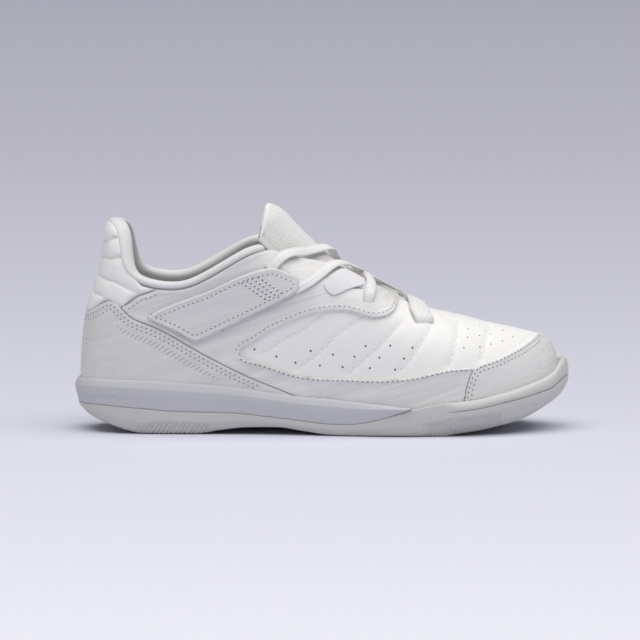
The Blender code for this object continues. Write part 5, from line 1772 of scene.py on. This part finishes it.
frames = []
for side in (-1, 1):
    for around, up, _ in quilt_lines[side]:
        lift = vamp_lift(around, up, side) + 0.00010
        run = np.stack([around, up], axis=1)
        for k, (spot, along, across, out) in enumerate(row_frames(run, side, lift, ZIGZAG_PITCH)):
            way = 1 if k % 2 else -1
            tip = along * math.cos(ZIGZAG_SLANT) + across * (way * math.sin(ZIGZAG_SLANT))
            wide = np.cross(out, tip)
            middle = spot + across * (way * ZIGZAG_STEP)
            frames.append((middle, tip * ZIGZAG_LENGTH / 2, wide * ZIGZAG_RADIUS, out * ZIGZAG_RADIUS))
QUILT_TONES = (0.66, 0.66, 0.67), (0.80, 0.80, 0.80)
quilt_thread = speckled("quilting_thread", (0.74, 0.74, 0.75), 0.7, 2600.0, *QUILT_TONES, bump=THREAD_BUMP)
settle(join_beads(frames), "quilting_stitches", "upper_synthetic", (quilt_thread,))

# air holes, drawn as dark discs of painted shade, in millimetres along the shoe and up the picture
HOLE_RADIUS = 0.00052
SIDE_HOLES = (
    (83.9, 36.8), (94, 33.5), (102.8, 30.7), (109.8, 36.1), (114, 29.4),
    (119.9, 34.4), (124.4, 28.7), (129.8, 33.5), (134.9, 38.3), (136.8, 28.2),
    (141.2, 33), (146.1, 38.5), (148.3, 27.6), (152.4, 32.6), (156.3, 37.5),
)
TOE_HOLES = (
    (181.8, 42.2), (187.5, 43.1), (193, 43.9), (180, 37.4), (187.5, 37.8), (192.6, 39.1),
    (198.1, 40.5), (203.1, 42.2), (182.2, 46.1), (187.8, 47.3), (198.7, 45.3),
)
AIR_HOLE_SHADE_TONES = (0.06, 0.06, 0.065), (0.14, 0.14, 0.15)
air_hole_shade = speckled("air_hole_shade", (0.10, 0.10, 0.11), 0.95, 700.0, *AIR_HOLE_SHADE_TONES)
frames = []
for rows, radius in ((SIDE_HOLES, HOLE_RADIUS), (TOE_HOLES, 0.75 * HOLE_RADIUS)):
    for side in (-1, 1):
        around, up = find_seen(rows, side)
        lift = vamp_lift(around, up, side) + 0.00002
        sides = np.full(len(around), float(side))
        spots, ways = lifted_point(around, up, sides, lift), last_normal(around, up, sides)
        for spot, out in zip(spots, ways):
            along = unit(np.cross(out, (0.0, 0.0, 1.0)))
            frames.append((spot, along * radius, np.cross(out, along) * radius, out * 0.00006))
settle(join_beads(frames), "air_holes", "upper_synthetic", (air_hole_shade,))

# printed ticks in a band under the counter's edge, longer towards the middle of the band
TICK_PITCH = 0.0021
TICK_LENGTH = 0.0021
TICK_SLANT = math.radians(62)
TICK_HALF_WIDTH = 0.00022
TICK_HALF_RISE = 0.00004
TICK_FROM, TICK_TO = 0.090, 0.300
TICK_TONES = (0.30, 0.30, 0.33), (0.46, 0.46, 0.49)
print_grey = speckled("printed_grey", (0.36, 0.36, 0.39), 0.35, 420.0, *TICK_TONES, detail=3.0)
frames = []
band = inside_of(counter_line, -0.0068)
band = band[(band[:, 0] > TICK_FROM * SHOE_LENGTH) & (band[:, 0] < TICK_TO * SHOE_LENGTH)]
for side in (-1, 1):
    run = list(row_frames(line_places(band, side), side, on_counter, TICK_PITCH, 0.5, TICK_SLANT))
    for k, (spot, along, across, out) in enumerate(run):
        share = math.sin(math.pi * (k + 1) / (len(run) + 1)) ** 0.5
        frames.append((spot, along * TICK_LENGTH * share, across * TICK_HALF_WIDTH, out * TICK_HALF_RISE))
settle(join_beads(frames), "counter_ticks", "overlay_synthetic", (print_grey,))

# raised dashes in a row low on the midsole's heel
DASH_PITCH = 0.0031
DASH_LEVEL = 0.40
DASH_HALF = (0.0009, 0.0005, 0.0003)
dash_a = np.linspace(0.055, 0.190, 40)
frames = []
for side in (-1, 1):
    sides = np.full(len(dash_a), float(side))
    xy = plan_point(dash_a, sides, 0.0004)
    low = parting(xy[:, 0])
    path = np.concatenate([xy, (low + (midsole_top(xy[:, 0]) - low) * DASH_LEVEL)[:, None]], axis=1)
    knots = run_lengths(path)
    for at in np.arange(DASH_PITCH, knots[-1] - DASH_PITCH, DASH_PITCH):
        spot = read_line(path, knots, at)
        tip = unit(read_line(path, knots, at + 0.0003) - spot)
        out = np.cross(tip, (0.0, 0.0, 1.0)) * -side
        frames.append((spot, tip * DASH_HALF[0], np.cross(out, tip) * DASH_HALF[1], out * DASH_HALF[2]))
settle(join_beads(frames), "midsole_dashes", "midsole_foam", (foam,))

# the slots that the webbing and the laces dip into, drawn as dark beads of painted shade,
# as first and last place in millimetres seen
SLOTS = (
    ((115.4, 65.7), (117.9, 63.0), 0.00045),
    ((128.6, 63.9), (133.4, 63.7), 0.00050),
)
frames = []
outer = np.array([-1.0, -1.0])
for first, last, half_width in SLOTS:
    around, up = find_seen(np.array([first, last]), -1)
    ends = lifted_point(around, up, outer, overlay_top + 0.0001)
    out = last_normal(around, up, outer)[0]
    along = (ends[1] - ends[0]) / 2
    across = np.cross(out, unit(along))
    frames.append((ends.mean(axis=0), along, across * half_width, out * 0.0002))
settle(join_beads(frames), "lace_slots", "overlay_synthetic", (hole_shade,))
